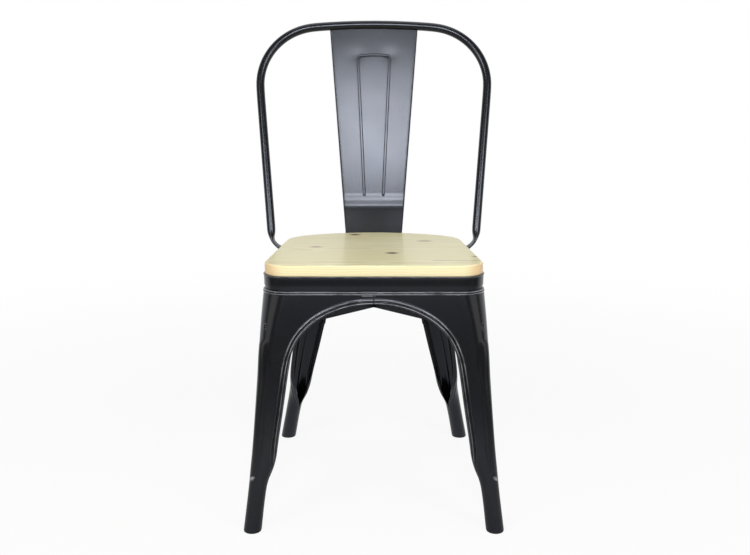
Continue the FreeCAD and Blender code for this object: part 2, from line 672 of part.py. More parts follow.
def make_splat(hoop):
    """Back splat: a pressed sheet with a groove, its top edge cut to fit under the hoop."""
    spans = (
        (SPLAT_BOTTOM, SPLAT_BEND - 14.0, 10),
        (SPLAT_BEND - 14.0, SPLAT_STEP_TO + 6.0, 15),
        (SPLAT_STEP_TO + 6.0, GROOVE_TOP - 6.0, 30),
    )
    heights = [low + (high - low) * i / count for low, high, count in spans for i in range(count)]
    heights.append(GROOVE_TOP - 6.0)
    heights += [GROOVE_TOP + step * GROOVE_WIDTH / 2 for step in (-1.0, -0.5, 0.0, 0.5, 1.0, 1.8)]
    heights += [GROOVE_TOP + 6.0 + (SPLAT_TOP - GROOVE_TOP - 6.0) * i / 6 for i in range(1, 7)]
    front = []
    back = []
    for z in heights:
        right = splat_columns(z)
        columns = [-x for x in right[:0:-1]] + right
        line = [Vector(x, splat_front_y(x, z) + groove(x, z), z) for x in columns]
        front.append(line)
        back.append([p + Vector(0, SPLAT_THICKNESS, 0) for p in line])
    return sheet_solid(front, back).cut(hoop)


def brace_ends():
    """Where a brace bar meets the inside of a front and of a rear corner, on the +X side."""
    ends = []
    for stations, sign in ((FRONT_STATIONS, -1.0), (REAR_STATIONS, 1.0)):
        x, y, radius = section(stations, BRACE_BOTTOM + BRACE_HEIGHT / 2)[:3]
        angle = math.radians(BRACE_MEETS)
        reach = radius - SHEET - BRACE_STANDS_OFF
        ends.append((x + reach * math.cos(angle), sign * (y + reach * math.sin(angle))))
    return ends


def brace_bar(sign, grown=0.0, low=BRACE_BOTTOM, height=BRACE_HEIGHT):
    """Bar on edge from a front corner to the opposite rear corner, or a wider copy of it."""
    front, rear = brace_ends()
    start = Vector(-sign * front[0], front[1], low)
    end = Vector(sign * rear[0], rear[1], low)
    along = end - start
    side = Vector(-along.y, along.x, 0).normalize() * (BRACE_THICKNESS / 2 + grown)
    corners = [start - side, start + side, end + side, end - side, start - side]
    return Part.Face(Part.makePolygon(corners)).extrude(Vector(0, 0, height))


def make_braces():
    """Two steel bars on edge from leg to leg, halved over each other in the middle."""
    half = BRACE_HEIGHT / 2
    lower = brace_bar(-1.0, BRACE_FIT, BRACE_BOTTOM, half)
    upper = brace_bar(1.0, BRACE_FIT, BRACE_BOTTOM + half, half)
    return {
        "brace_bar_a": brace_bar(1.0).cut(lower),
        "brace_bar_b": brace_bar(-1.0).cut(upper),
    }


def make_caps():
    """Plastic foot caps: a cup round the tube's end with a plug up inside it."""
    caps = {}
    for end, stations, sign_y in (("front", FRONT_STATIONS, -1.0), ("rear", REAR_STATIONS, 1.0)):
        low = section(stations, 0.0)[:2]
        high = section(stations, CAP_PLUG_TOP)[:2]
        for side, sign_x in (("left", -1.0), ("right", 1.0)):
            base = Vector(sign_x * low[0], sign_y * low[1], 0.0)
            slant = Vector(sign_x * (high[0] - low[0]), sign_y * (high[1] - low[1]), CAP_PLUG_TOP)
            rim = slant * (CAP_HEIGHT / CAP_PLUG_TOP)
            outer = slanted(base, rim, CAP_RADIUS)
            lowest = [e for e in outer.Edges if e.BoundBox.ZMax < 0.01]
            outer = outer.makeFillet(CAP_ROUND, lowest)
            start = slant * (LEG_BOTTOM / CAP_PLUG_TOP)
            socket = slanted(base + start, slant, LEG_TUBE_RADIUS + CONTACT_GAP)
            plug = slanted(base + start - Vector(0, 0, 0.5), slant - start + Vector(0, 0, 0.5), CAP_PLUG_RADIUS)
            caps[f"{end}_{side}_foot_cap"] = outer.cut(socket).fuse(plug)
    return caps


def slanted(base, rise, radius):
    """Upright-ended round column along a slanting axis."""
    disc = Part.Face(Part.Wire([Part.makeCircle(radius, base)]))
    return disc.extrude(rise)


def bead(start, end, radius):
    """Weld bead: a rod with rounded ends from start to end."""
    axis = end - start
    rod = Part.makeCylinder(radius, axis.Length, start, axis, 360)
    rod.rotate(start, axis, BEAD_TURN)
    return rod.makeFillet(radius * BEAD_END_ROUND, [e for e in rod.Edges if len(e.Vertexes) == 1])


def seam_point(stations, z, turn, seam_y):
    """Point just off an apron's outer face where its seam is, and the way it faces."""
    x, y, radius, side, main, bow, curl, flange = section(stations, z)
    angle, curvature, reach = side, curl, side_reach(stations, z, seam_y)
    if turn > 0:
        angle, curvature, reach = main, bow, main_reach(stations, z, 0.0)
    x += radius * math.cos(angle)
    y += radius * math.sin(angle)
    x, y, angle = walk(x, y, angle, curvature, turn, reach)
    outward = Vector(math.cos(angle), math.sin(angle), 0.0)
    return Vector(x, y, z) + outward * (top_bead(z) + CONTACT_GAP), outward


def half_bead(start, end, outward, radius):
    """The outer half of a bead that lies on a flat face."""
    along = (end - start).normalize() * radius
    across = along.cross(outward) * 2
    corners = [start - along - across, end + along - across, end + along + across, start - along + across]
    keep = Part.Face(Part.makePolygon(corners + corners[:1])).extrude(outward * (2 * radius))
    return bead(start, end, radius).common(keep)


def seam_beads():
    """Half-round beads over the seams between the legs' aprons, front, rear and both sides."""
    beads = []
    high = LEG_TOP - TOP_BEAD_DROP - 2.0
    for stations, turn, sign_x, sign_y in (
        (FRONT_STATIONS, 1.0, 1.0, -1.0),
        (REAR_STATIONS, 1.0, 1.0, 1.0),
        (FRONT_STATIONS, -1.0, 1.0, -1.0),
        (FRONT_STATIONS, -1.0, -1.0, -1.0),
    ):
        ends = []
        for z in (high - SEAM_BEAD_LENGTH, high):
            point, outward = seam_point(stations, z, turn, -SIDE_SEAM_Y)
            ends.append(Vector(sign_x * point.x, sign_y * point.y, z))
        outward = Vector(sign_x * outward.x, sign_y * outward.y, 0.0)
        beads.append(half_bead(ends[0], ends[1], outward, SEAM_BEAD_RADIUS))
    return beads


def hoop_beads():
    """Beads down both edges of the hoop's flattened ends, on the pan's skirt."""
    beads = []
    reach = REAR_CORNER_RADIUS - SKIRT_INSET + HOOP_BEAD_RADIUS * 0.5
    spread = (HOOP_STRIP_WIDTH / 2 + HOOP_BEAD_RADIUS * 0.2) / REAR_CORNER_RADIUS
    for sign in (-1.0, 1.0):
        for turn in (-spread, spread):
            angle = math.radians(HOOP_END_ANGLE) + turn
            x = sign * (REAR_CORNER_X + reach * math.cos(angle))
            y = REAR_CORNER_Y + reach * math.sin(angle)
            beads.append(bead(Vector(x, y, 413.0), Vector(x, y, 420.5), HOOP_BEAD_RADIUS))
    return beads


def splat_beads():
    """Beads that join the splat's foot to the pan's skirt."""
    beads = []
    for x in (-SPLAT_BEAD_X, 0.0, SPLAT_BEAD_X):
        y = splat_front_y(x, SPLAT_BOTTOM) - (PAN_RIM + SKIRT_INSET) / 2
        beads.append(bead(Vector(x, y, 416.0), Vector(x, y, 426.0), SPLAT_BEAD_RADIUS))
    return beads


def brace_beads():
    """Beads at the four ends of the brace bars, in the legs' corners."""
    beads = []
    low = BRACE_BOTTOM + BRACE_BEAD_RADIUS + 1.0
    high = BRACE_BOTTOM + BRACE_HEIGHT - BRACE_BEAD_RADIUS - 1.0
    for x, y in brace_ends():
        for sign in (-1.0, 1.0):
            beads.append(bead(Vector(sign * x, y, low), Vector(sign * x, y, high), BRACE_BEAD_RADIUS))
    return beads


def make_welds(nodes, hoop):
    """Weld beads, each cut back to the faces that it joins."""
    legs = [shape for name, shape in nodes.items() if name.endswith("_leg")]
    pan = nodes["seat_pan"]
    groups = {
        "apron_seam_welds": (seam_beads(), []),
        "hoop_foot_welds": (hoop_beads(), [pan, hoop]),
        "splat_foot_welds": (splat_beads(), [pan, nodes["back_splat"]]),
        "brace_welds": (brace_beads(), legs + [nodes["brace_bar_a"], nodes["brace_bar_b"]]),
    }
    welds = {}
    for name, (beads, around) in groups.items():
        trimmed = []
        for piece in beads:
            for other in around:
                if piece.BoundBox.intersect(other.BoundBox):
                    piece = piece.cut(other)
            trimmed.append(max(piece.Solids, key=lambda solid: solid.Volume))
        welds[name] = Part.makeCompound(trimmed)
    return welds


def make_nodes():
    """Every node of the chair by name."""
    nodes = make_legs()
    nodes.update(make_staves())
    nodes["seat_pan"] = make_pan()
    hoop, nodes["back_hoop"] = make_hoop()
    nodes["back_splat"] = make_splat(hoop)
    nodes.update(make_braces())
    nodes.update(make_caps())
    nodes["seat_screws"], nodes["screw_washers"] = make_screws()
    nodes.update(make_welds(nodes, hoop))
    return nodes


os.makedirs("parts", exist_ok=True)
for name, shape in make_nodes().items():
    shape.exportStep(f"parts/{name}.step")
    box = shape.BoundBox
    print(name, "valid", shape.isValid(), "solids", len(shape.Solids), "volume", round(shape.Volume),
          "box", [round(v, 1) for v in (box.XMin, box.YMin, box.ZMin, box.XMax, box.YMax, box.ZMax)])
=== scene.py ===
"""Black metal bistro chair with a pine seat board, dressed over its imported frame.

Sizes are in millimetres and turn into metres where a mesh is made. +Z is up and the sitter faces -Y.
"""

import logging
import math
from dataclasses import dataclass
from enum import Enum
from typing import Any, Optional, Sequence, Union

import bmesh
import bpy
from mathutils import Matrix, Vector


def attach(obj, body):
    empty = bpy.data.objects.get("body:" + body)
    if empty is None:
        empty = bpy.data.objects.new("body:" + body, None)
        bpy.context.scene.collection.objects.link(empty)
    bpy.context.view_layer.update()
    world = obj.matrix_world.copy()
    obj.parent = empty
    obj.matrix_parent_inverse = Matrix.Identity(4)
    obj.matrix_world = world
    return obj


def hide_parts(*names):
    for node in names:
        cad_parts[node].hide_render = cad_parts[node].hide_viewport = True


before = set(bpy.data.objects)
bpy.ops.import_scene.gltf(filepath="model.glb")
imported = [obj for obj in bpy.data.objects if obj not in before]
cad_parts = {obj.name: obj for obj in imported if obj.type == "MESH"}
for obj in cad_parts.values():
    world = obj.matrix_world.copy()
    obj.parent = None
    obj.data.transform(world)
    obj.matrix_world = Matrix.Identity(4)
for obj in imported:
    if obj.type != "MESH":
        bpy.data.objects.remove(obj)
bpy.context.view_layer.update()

BODY = "root"
# Point attribute that lightens the black coat towards light grey on pressed crests, rolled edges and beads:
# a painted highlight line, partly real rubbing of the paint.
PAINTED_HIGHLIGHT_AND_WEAR = "painted_highlight_and_wear"
WHITE = (1.0, 1.0, 1.0, 1.0)
MM = 0.001
LOG = logging.getLogger("chair")

Line = list[Vector]
Face = tuple[int, ...]
Setting = Union["Sock", float, int, bool, str, tuple, bpy.types.Object, None]


def blend(value: float, low: float, high: float) -> float:
    """Smooth step.

    Args:
        value: The number to place.
        low: Where the step starts.
        high: Where the step ends.

    Returns:
        0 before low, 1 after high and a smooth change between them.
    """
    t = min(1.0, max(0.0, (value - low) / (high - low)))
    return t * t * (3.0 - 2.0 * t)


def swell(offset: float, half: float) -> float:
    """Rounded ridge.

    Args:
        offset: Distance from the ridge's crest.
        half: Half of the ridge's width.

    Returns:
        1 at the crest, falling smoothly to 0 at the ridge's foot.
    """
    if abs(offset) >= half:
        return 0.0
    return 0.5 + 0.5 * math.cos(math.pi * offset / half)


def mix(first: float, second: float, share: float) -> float:
    """The number that lies a share of the way from first to second."""
    return first + (second - first) * share


def loop_faces(rows: int, columns: int, first: int = 0) -> list[Face]:
    """Quads between closed rings of points.

    Args:
        rows: How many rings there are.
        columns: How many points each ring has.
        first: Index of the first ring's first point.

    Returns:
        One face for each pair of neighbours on each pair of rings.
    """
    faces = []
    for i in range(rows - 1):
        for j in range(columns):
            k = (j + 1) % columns
            a, b = first + i * columns, first + (i + 1) * columns
            faces.append((a + j, a + k, b + k, b + j))
    return faces


def sheet_faces(rows: int, half: int) -> list[Face]:
    """Faces of a thin sheet whose rows run along its outer skin, round an edge, back and round again.

    Args:
        rows: How many rows there are.
        half: How many points each skin has in a row. Each edge has one more.

    Returns:
        The faces of both skins, of the edges and of the two end strips.
    """
    columns = 2 * half + 2
    faces = loop_faces(rows, columns)
    for first in (0, (rows - 1) * columns):
        last = first + 2 * half
        faces += [(first + j, first + j + 1, last - 1 - j, last - j) for j in range(half - 1)]
        faces += [(first + half - 1, first + half, first + half + 1), (last, last + 1, first)]
    return faces


def add_object(name: str, data: Optional[bpy.types.ID]) -> bpy.types.Object:
    """New object in the scene, at the origin.

    Args:
        name: The object's name.
        data: Its mesh, light or camera.

    Returns:
        The object.
    """
    obj = bpy.data.objects.new(name, data)
    bpy.context.scene.collection.objects.link(obj)
    return obj


def make_mesh(
    name: str,
    points: Sequence[Vector],
    faces: Sequence[Face],
    crease: float = 40.0,
    highlight_and_rub: Optional[Sequence[float]] = None,
) -> bpy.types.Object:
    """Build an object from points in millimetres, with its faces turned outwards.

    Args:
        name: The object's name.
        points: Corners in millimetres.
        faces: Corner indices of each face.
        crease: Edges that turn by more than this many degrees stay sharp.
        highlight_and_rub: How far the coat is lightened at each corner, from 0 to 1: a painted highlight,
            partly real rubbing of the paint.

    Returns:
        The new object, linked to the scene, at the origin.
    """
    mesh = bpy.data.meshes.new(name)
    mesh.from_pydata([p * MM for p in points], [], faces)
    # The painted highlight share is stored on the mesh as a point attribute.
    if highlight_and_rub:
        mesh.attributes.new(PAINTED_HIGHLIGHT_AND_WEAR, "FLOAT", "POINT").data.foreach_set("value", highlight_and_rub)
    return finish_mesh(add_object(name, mesh), crease)


def finish_mesh(obj: bpy.types.Object, crease: float = 40.0) -> bpy.types.Object:
    """Merge doubles, turn the faces outwards and smooth the shading.

    Args:
        obj: The object whose mesh is finished.
        crease: Edges that turn by more than this many degrees stay sharp.

    Returns:
        The same object.
    """
    work = bmesh.new()
    work.from_mesh(obj.data)
    bmesh.ops.remove_doubles(work, verts=work.verts, dist=1e-6)
    bmesh.ops.dissolve_degenerate(work, edges=work.edges, dist=1e-7)
    if work.calc_volume(signed=True) < 0:
        bmesh.ops.reverse_faces(work, faces=work.faces)
    work.to_mesh(obj.data)
    work.free()
    obj.data.shade_smooth()
    obj.data.set_sharp_from_angle(angle=math.radians(crease))
    return obj


def fit(obj: bpy.types.Object, finish: "Finish", *nodes: str) -> bpy.types.Object:
    """Give a finished piece its material, its body and the CAD nodes that it stands for.

    Args:
        obj: The piece.
        finish: The finish that it is made in.
        nodes: CAD nodes that it replaces.

    Returns:
        The same object.
    """
    obj.data.materials.clear()
    obj.data.materials.append(finish.material())
    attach(obj, BODY)
    if nodes:
        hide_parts(*nodes)
    LOG.info("%s: %d faces, %s", obj.name, len(obj.data.polygons), finish.slot.value)
    return obj


class Sock:
    """A node's socket that takes part in Python arithmetic."""

    def __init__(self, graph: "Graph", socket: bpy.types.NodeSocket) -> None:
        """Wrap a socket of a graph."""
        self.graph = graph
        self.socket = socket

    def sibling(self, name: Union[str, int]) -> "Sock":
        """Another output of the same node."""
        return Sock(self.graph, self.socket.node.outputs[name])

    def __add__(self, other: Setting) -> "Sock":
        """Sum."""
        return self.graph.math("ADD", self, other)

    def __sub__(self, other: Setting) -> "Sock":
        """Difference."""
        return self.graph.math("SUBTRACT", self, other)

    def __rsub__(self, other: Setting) -> "Sock":
        """Difference the other way round."""
        return self.graph.math("SUBTRACT", other, self)

    def __mul__(self, other: Setting) -> "Sock":
        """Product."""
        return self.graph.math("MULTIPLY", self, other)

    def __truediv__(self, other: Setting) -> "Sock":
        """Quotient."""
        return self.graph.math("DIVIDE", self, other)

    def __pow__(self, other: Setting) -> "Sock":
        """Power."""
        return self.graph.math("POWER", self, other)

    __radd__ = __add__
    __rmul__ = __mul__

    def ramp(self, low: float, high: float) -> "Sock":
        """Smooth step of this value from 0 at low to 1 at high."""
        sockets = {"Value": self, "From Min": low, "From Max": high}
        return self.graph.node("ShaderNodeMapRange", {"interpolation_type": "SMOOTHSTEP"}, sockets)


class Graph:
    """Adds nodes to one tree, each with its settings and its sockets."""

    def __init__(self, tree: bpy.types.NodeTree) -> None:
        """Start on a tree."""
        self.tree = tree

    def node(
        self,
        kind: str,
        settings: Optional[dict[str, Any]] = None,
        sockets: Optional[dict[Union[str, int], Setting]] = None,
        out: Union[str, int] = 0,
    ) -> Sock:
        """Add one node.

        Args:
            kind: The node's type.
            settings: The node's own properties.
            sockets: Values or links of its inputs, by name or number.
            out: Which output to return.

        Returns:
            The chosen output.
        """
        made = self.tree.nodes.new(kind)
        for key, value in (settings or {}).items():
            setattr(made, key, value)
        for key, value in (sockets or {}).items():
            if isinstance(value, Sock):
                self.tree.links.new(value.socket, made.inputs[key])
            else:
                made.inputs[key].default_value = value
        return Sock(self, made.outputs[out] if made.outputs else made.inputs[0])

    def math(self, operation: str, *values: Setting) -> Sock:
        """Math node over one, two or three values."""
        return self.node("ShaderNodeMath", {"operation": operation}, dict(enumerate(values)))

    def vector(self, operation: str, *values: Setting, out: Union[str, int] = 0) -> Sock:
        """Vector Math node over its vectors."""
        return self.node("ShaderNodeVectorMath", {"operation": operation}, dict(enumerate(values)), out)

    def scale(self, vector: Setting, factor: Setting) -> Sock:
        """Vector times a number."""
        sockets = {0: vector, "Scale": factor}
        return self.node("ShaderNodeVectorMath", {"operation": "SCALE"}, sockets)

    def split(self, vector: Sock) -> tuple[Sock, Sock, Sock]:
        """The three parts of a vector."""
        x = self.node("ShaderNodeSeparateXYZ", None, {0: vector})
        return x, x.sibling("Y"), x.sibling("Z")

    def combine(self, x: Setting = 0.0, y: Setting = 0.0, z: Setting = 0.0) -> Sock:
        """Vector of three numbers."""
        return self.node("ShaderNodeCombineXYZ", None, {"X": x, "Y": y, "Z": z})

    def bump(self, height: Sock, strength: float = 1.0) -> Sock:
        """Normal that a height in metres tilts."""
        sockets = {"Strength": strength, "Distance": 1.0, "Height": height}
        return self.node("ShaderNodeBump", None, sockets)

    def mix_colour(self, share: Setting, first: Setting, second: Setting) -> Sock:
        """Mix of two colours.

        Args:
            share: Factor from 0 to 1.
            first: Colour at 0.
            second: Colour at 1.

        Returns:
            The mixed colour.
        """
        return self.node("ShaderNodeMix", {"data_type": "RGBA"}, {0: share, 6: first, 7: second}, 2)


class Slot(Enum):
    """The record's material slots."""

    PAINT = "black_paint"
    PINE = "pine"
    PLASTIC = "foot_plastic"
    ZINC = "zinc_steel"


@dataclass(frozen=True)
class Finish:
    """One finish: a named material built from procedural nodes."""

    name: str = "finish"
    slot: Slot = Slot.PAINT

    def material(self) -> bpy.types.Material:
        """The finish's material, built the first time that it is asked for.

        Returns:
            The material.
        """
        made = bpy.data.materials.get(self.name)
        if made is None:
            made = bpy.data.materials.new(self.name)
            made.use_nodes = True
            made.node_tree.nodes.clear()
            self.build(Graph(made.node_tree))
        return made

    def build(self, graph: Graph) -> None:
        """Add the finish's nodes."""
        raise NotImplementedError

    @staticmethod
    def place(graph: Graph, stretch: tuple[float, float, float] = (1.0, 1.0, 1.0)) -> Sock:
        """Object coordinates, stretched along each axis."""
        where = graph.node("ShaderNodeTexCoord", out="Object")
        return graph.vector("MULTIPLY", where, stretch)

    @staticmethod
    def noise(graph: Graph, where: Sock, scale: float, detail: float = 2.0, roughness: float = 0.5) -> Sock:
        """Noise value with the given features per metre."""
        sockets = {"Vector": where, "Scale": scale, "Detail": detail, "Roughness": roughness}
        return graph.node("ShaderNodeTexNoise", None, sockets)

    @staticmethod
    def surface(graph: Graph, sockets: dict[str, Setting]) -> None:
        """End the material in a Principled shader with the given sockets."""
        shader = graph.node("ShaderNodeBsdfPrincipled", None, sockets)
        graph.node("ShaderNodeOutputMaterial", None, {"Surface": shader})


@dataclass(frozen=True)
class SatinPaint(Finish):
    """Black powder coat: a fine orange peel over sheet that isn't quite flat, with a painted highlight in
    light grey on crests that stands partly for real rubbing of the paint.
    """

    name: str = "satin_black_coat"
    slot: Slot = Slot.PAINT
    dark: tuple = (0.0030, 0.0030, 0.0034, 1.0)
    dusty: tuple = (0.0065, 0.0060, 0.0058, 1.0)
    # Light grey of the painted highlight lines on crests, partly real rubbing of the paint.
    highlight_and_rub_grey: tuple = (0.24, 0.245, 0.265, 1.0)
    tint: tuple = (0.80, 0.86, 1.0, 1.0)
    roughness: float = 0.19
    index: float = 1.5
    peel_depth: float = 0.000004
    wave_depth: float = 0.0004

    def build(self, graph: Graph) -> None:
        """Add the coat's nodes.

        Args:
            graph: The tree to add to.
        """
        where = self.place(graph)
        cloud = self.noise(graph, where, 7.0, 4.0, 0.6)
        speck = self.noise(graph, where, 420.0, 1.0)
        dust = cloud.ramp(0.45, 0.75) * 0.7 + speck.ramp(0.62, 0.75) * 0.5
        # Painted highlight: the mesh attribute lightens crests and rolled edges towards the light grey, in
        # patches, and stands partly for real rubbing of the paint.
        highlight_and_rub = graph.node("ShaderNodeAttribute", {"attribute_name": PAINTED_HIGHLIGHT_AND_WEAR}, out="Fac")
        highlight_and_rub = highlight_and_rub * (0.35 + self.noise(graph, where, 55.0, 2.0).ramp(0.3, 0.6) * 0.65)
        colour = graph.mix_colour(highlight_and_rub, graph.mix_colour(dust, self.dark, self.dusty), self.highlight_and_rub_grey)
        peel = self.noise(graph, where, 650.0, 1.5)
        wave = self.noise(graph, where, 11.0, 1.0)
        height = peel * self.peel_depth + wave * self.wave_depth
        self.surface(graph, {
            "Base Color": colour,
            "Roughness": self.roughness + cloud * 0.08 + speck * 0.015,
            "IOR": self.index,
            "Specular Tint": self.tint,
            "Normal": graph.bump(height),
        })


@dataclass(frozen=True)
class Pine(Finish):
    """Varnished flat-sawn pine: growth rings about each stave's own pith, fibres and knots.

    Places are in metres. Each knot has its place along X and Y, its size and its strength. The staves
    start at first and are width wide, and one dark streak runs along X from the place that streak gives.
    """

    name: str = "varnished_pine"
    slot: Slot = Slot.PINE
    early: tuple = (0.80, 0.76, 0.475, 1.0)
    late: tuple = (0.68, 0.58, 0.29, 1.0)
    knot_tint: tuple = (0.42, 0.22, 0.11, 1.0)
    knot_core: tuple = (0.020, 0.014, 0.008, 1.0)
    pale: tuple = (0.78, 0.74, 0.55, 1.0)
    end_grain: tuple = (0.80, 0.56, 0.30, 1.0)
    first: float = -0.2065
    width: float = 0.088
    middle: float = 0.442
    pith_below: float = 0.045
    ring: float = 0.0034
    seed: float = 3.0
    knot_pull: float = 2.4
    streak: tuple[float, float] = (0.092, -0.158)
    knots: tuple = (
        (0.031, -0.088, 0.0100, 1.5),
        (-0.036, 0.114, 0.0100, 1.1),
        (-0.103, -0.025, 0.0100, 0.38),
        (0.093, 0.040, 0.0125, 0.32),
        (0.172, -0.122, 0.0065, 0.5),
    )

    def build(self, graph: Graph) -> None:
        """Add the wood's nodes.

        Args:
            graph: The tree to add to.
        """
        where = self.place(graph)
        x, y, z = graph.split(where)
        stave = graph.math("FLOOR", (y - self.first) / self.width)
        settings = {"noise_dimensions": "1D"}
        seeds = graph.node("ShaderNodeTexWhiteNoise", settings, {"W": stave + self.seed}, "Color")
        shift_y, shift_z, _ = graph.split(seeds)
        own = graph.vector("ADD", where, graph.scale(seeds, 5.0))
        bend = self.noise(graph, graph.vector("MULTIPLY", own, (1.0, 3.0, 3.0)), 4.0, 2.0)
        drift = self.noise(graph, graph.vector("MULTIPLY", own, (0.35, 1.0, 1.0)), 5.0, 1.0)
        pull, cores, tints = 0.0, 0.0, 0.0
        for knot_x, knot_y, size, strength in self.knots:
            dx = (x - knot_x) / 1.35
            dy = y - knot_y
            far = graph.math("SQRT", dx * dx + dy * dy)
            near = graph.math("EXPONENT", far * (-1.0 / (self.knot_pull * size)))
            pull = near * (0.010 * (0.5 + 0.5 * strength)) + pull
            tints = (1.0 - far.ramp(0.55 * size, 1.25 * size)) * min(1.0, 0.35 + strength) + tints
            cores = (1.0 - far.ramp(0.30 * size, 0.80 * size)) * strength + cores
        across = y - (self.first + 0.5 * self.width) - stave * self.width + (shift_y - 0.5) * 0.05
        below = z - self.middle + self.pith_below + shift_z * 0.03
        radius = graph.math("SQRT", across * across + below * below)
        radius = radius + bend * 0.012 + drift * 0.016 + pull
        turn = graph.math("FRACT", radius / self.ring)
        dark = turn.ramp(0.35, 0.93) * (1.0 - turn.ramp(0.95, 1.0))
        fibres = self.noise(graph, graph.vector("MULTIPLY", own, (0.02, 1.0, 1.0)), 900.0, 2.0, 0.6)
        pores = self.noise(graph, graph.vector("MULTIPLY", own, (0.012, 1.0, 1.0)), 2600.0, 1.0)
        aside = graph.math("ABSOLUTE", y - self.streak[1] + (bend - 0.5) * 0.002)
        streak = (1.0 - aside.ramp(0.0006, 0.0026)) * x.ramp(self.streak[0], self.streak[0] + 0.010)
        colour = graph.mix_colour(dark * 0.60 + fibres.ramp(0.45, 0.75) * 0.26, self.early, self.late)
        toned = graph.mix_colour(drift.ramp(0.40, 0.62) * 0.18, colour, self.pale)
        side, _, up = graph.split(graph.node("ShaderNodeNewGeometry", out="Normal"))
        ends = graph.math("ABSOLUTE", side).ramp(0.15, 0.75) * 0.7
        ends = ends + (1.0 - up.ramp(0.2, 0.8)) * 0.14
        toned = graph.mix_colour(ends, toned, self.end_grain)
        stained = graph.mix_colour(graph.math("MINIMUM", tints, 1.0) * 0.6, toned, self.knot_tint)
        cored = graph.mix_colour(graph.math("MINIMUM", cores + streak * 0.6, 1.0), stained, self.knot_core)
        height = fibres * -0.00003 + pores * -0.00002 + dark * 0.00002 + cores * -0.0001
        self.surface(graph, {
            "Base Color": cored,
            "Roughness": 0.52 + fibres * 0.12,
            "Coat Weight": 0.38 - pores.ramp(0.62, 0.75) * 0.14,
            "Coat Roughness": 0.22,
            "Normal": graph.bump(height, 0.8),
        })


@dataclass(frozen=True)
class MouldedPlastic(Finish):
    """Black moulded plastic with a fine eroded texture, scuffed low down."""

    name: str = "moulded_black_plastic"
    slot: Slot = Slot.PLASTIC
    dark: tuple = (0.008, 0.008, 0.0085, 1.0)
    scuffed: tuple = (0.035, 0.033, 0.031, 1.0)
    scuff_height: float = 0.006

    def build(self, graph: Graph) -> None:
        """Add the plastic's nodes.

        Args:
            graph: The tree to add to.
        """
        where = self.place(graph)
        grain = self.noise(graph, where, 1400.0, 2.0)
        patches = self.noise(graph, where, 160.0, 3.0, 0.7)
        _, _, height = graph.split(where)
        scuff = patches.ramp(0.5, 0.62) * (1.0 - height.ramp(0.0, self.scuff_height))
        self.surface(graph, {
            "Base Color": graph.mix_colour(scuff, self.dark, self.scuffed),
            "Roughness": 0.48 + scuff * 0.25 + grain * 0.08,
            "IOR": 1.4,
            "Normal": graph.bump(grain * 0.00008, 0.6),
        })


@dataclass(frozen=True)
class ZincPlate(Finish):
    """Bright zinc plating with turning marks and dull blotches."""

    name: str = "zinc_plate"
    slot: Slot = Slot.ZINC
    bright: tuple = (0.68, 0.68, 0.66, 1.0)
    dull: tuple = (0.42, 0.42, 0.40, 1.0)

    def build(self, graph: Graph) -> None:
        """Add the plating's nodes.

        Args:
            graph: The tree to add to.
        """
        where = self.place(graph)
        blotch = self.noise(graph, where, 300.0, 3.0, 0.6).ramp(0.4, 0.65)
        marks = self.noise(graph, self.place(graph, (1.0, 1.0, 6.0)), 1500.0, 1.0)
        self.surface(graph, {
            "Base Color": graph.mix_colour(blotch, self.bright, self.dull),
            "Metallic": 1.0,
            "Roughness": 0.24 + blotch * 0.2,
            "Normal": graph.bump(marks * 0.00003, 0.5),
        })


@dataclass(frozen=True)
class StudioFloor(Finish):
    """Pale studio floor that fades to white away from the chair.

    The camera sees lift as its share of white up to near metres, and all of it from far metres on. The chair
    sees unlit near by and dim beyond the distances in lit.
    """

    name: str = "studio_floor"
    tone: tuple = (0.86, 0.86, 0.86, 1.0)
    mottled: tuple = (0.84, 0.84, 0.845, 1.0)
    unlit: tuple = (0.60, 0.60, 0.60, 1.0)
    dim: tuple = (0.12, 0.12, 0.12, 1.0)
    lit: tuple = (0.9, 1.5)
    lift: float = 0.90
    near: float = 0.30
    far: float = 2.4

    def build(self, graph: Graph) -> None:
        """Add the floor's nodes.

        Args:
            graph: The tree to add to.
        """
        where = self.place(graph)
        radius = graph.vector("LENGTH", where, out="Value")
        mottle = self.noise(graph, where, 3.0, 3.0)
        tone = graph.mix_colour(mottle.ramp(0.3, 0.7), self.tone, self.mottled)
        camera = graph.node("ShaderNodeLightPath", out="Is Camera Ray")
        bounced = graph.mix_colour(radius.ramp(*self.lit), self.unlit, self.dim)
        tone = graph.mix_colour(camera, bounced, tone)
        sockets = {"Base Color": tone, "Roughness": 0.7, "IOR": 1.3}
        matt = graph.node("ShaderNodeBsdfPrincipled", None, sockets)
        seen = seen_rays(graph, where, -0.3, 0.5)
        white = graph.node("ShaderNodeEmission", None, {"Color": WHITE, "Strength": 1.0})
        share = mix(self.lift, 1.0, radius.ramp(self.near, self.far)) * seen
        both = graph.node("ShaderNodeMixShader", None, {0: share, 1: matt, 2: white})
        graph.node("ShaderNodeOutputMaterial", None, {"Surface": both})


def seen_rays(graph: Graph, where: Sock, low: float = -0.1, high: float = 0.3) -> Sock:
    """Share of the background's white that a ray sees.

    Args:
        graph: The tree to add to.
        where: Direction or place that the ray meets.
        low: Where the white sweep behind the chair starts, along Y, for reflections.
        high: Where it is full.

    Returns:
        1 for camera rays, and for glossy and transmission rays that meet the sweep behind the chair.
    """
    camera = graph.node("ShaderNodeLightPath", out="Is Camera Ray")
    bounced = graph.math("MAXIMUM", camera.sibling("Is Glossy Ray"), camera.sibling("Is Transmission Ray"))
    _, along, _ = graph.split(where)
    return graph.math("MAXIMUM", camera, bounced * along.ramp(low, high))


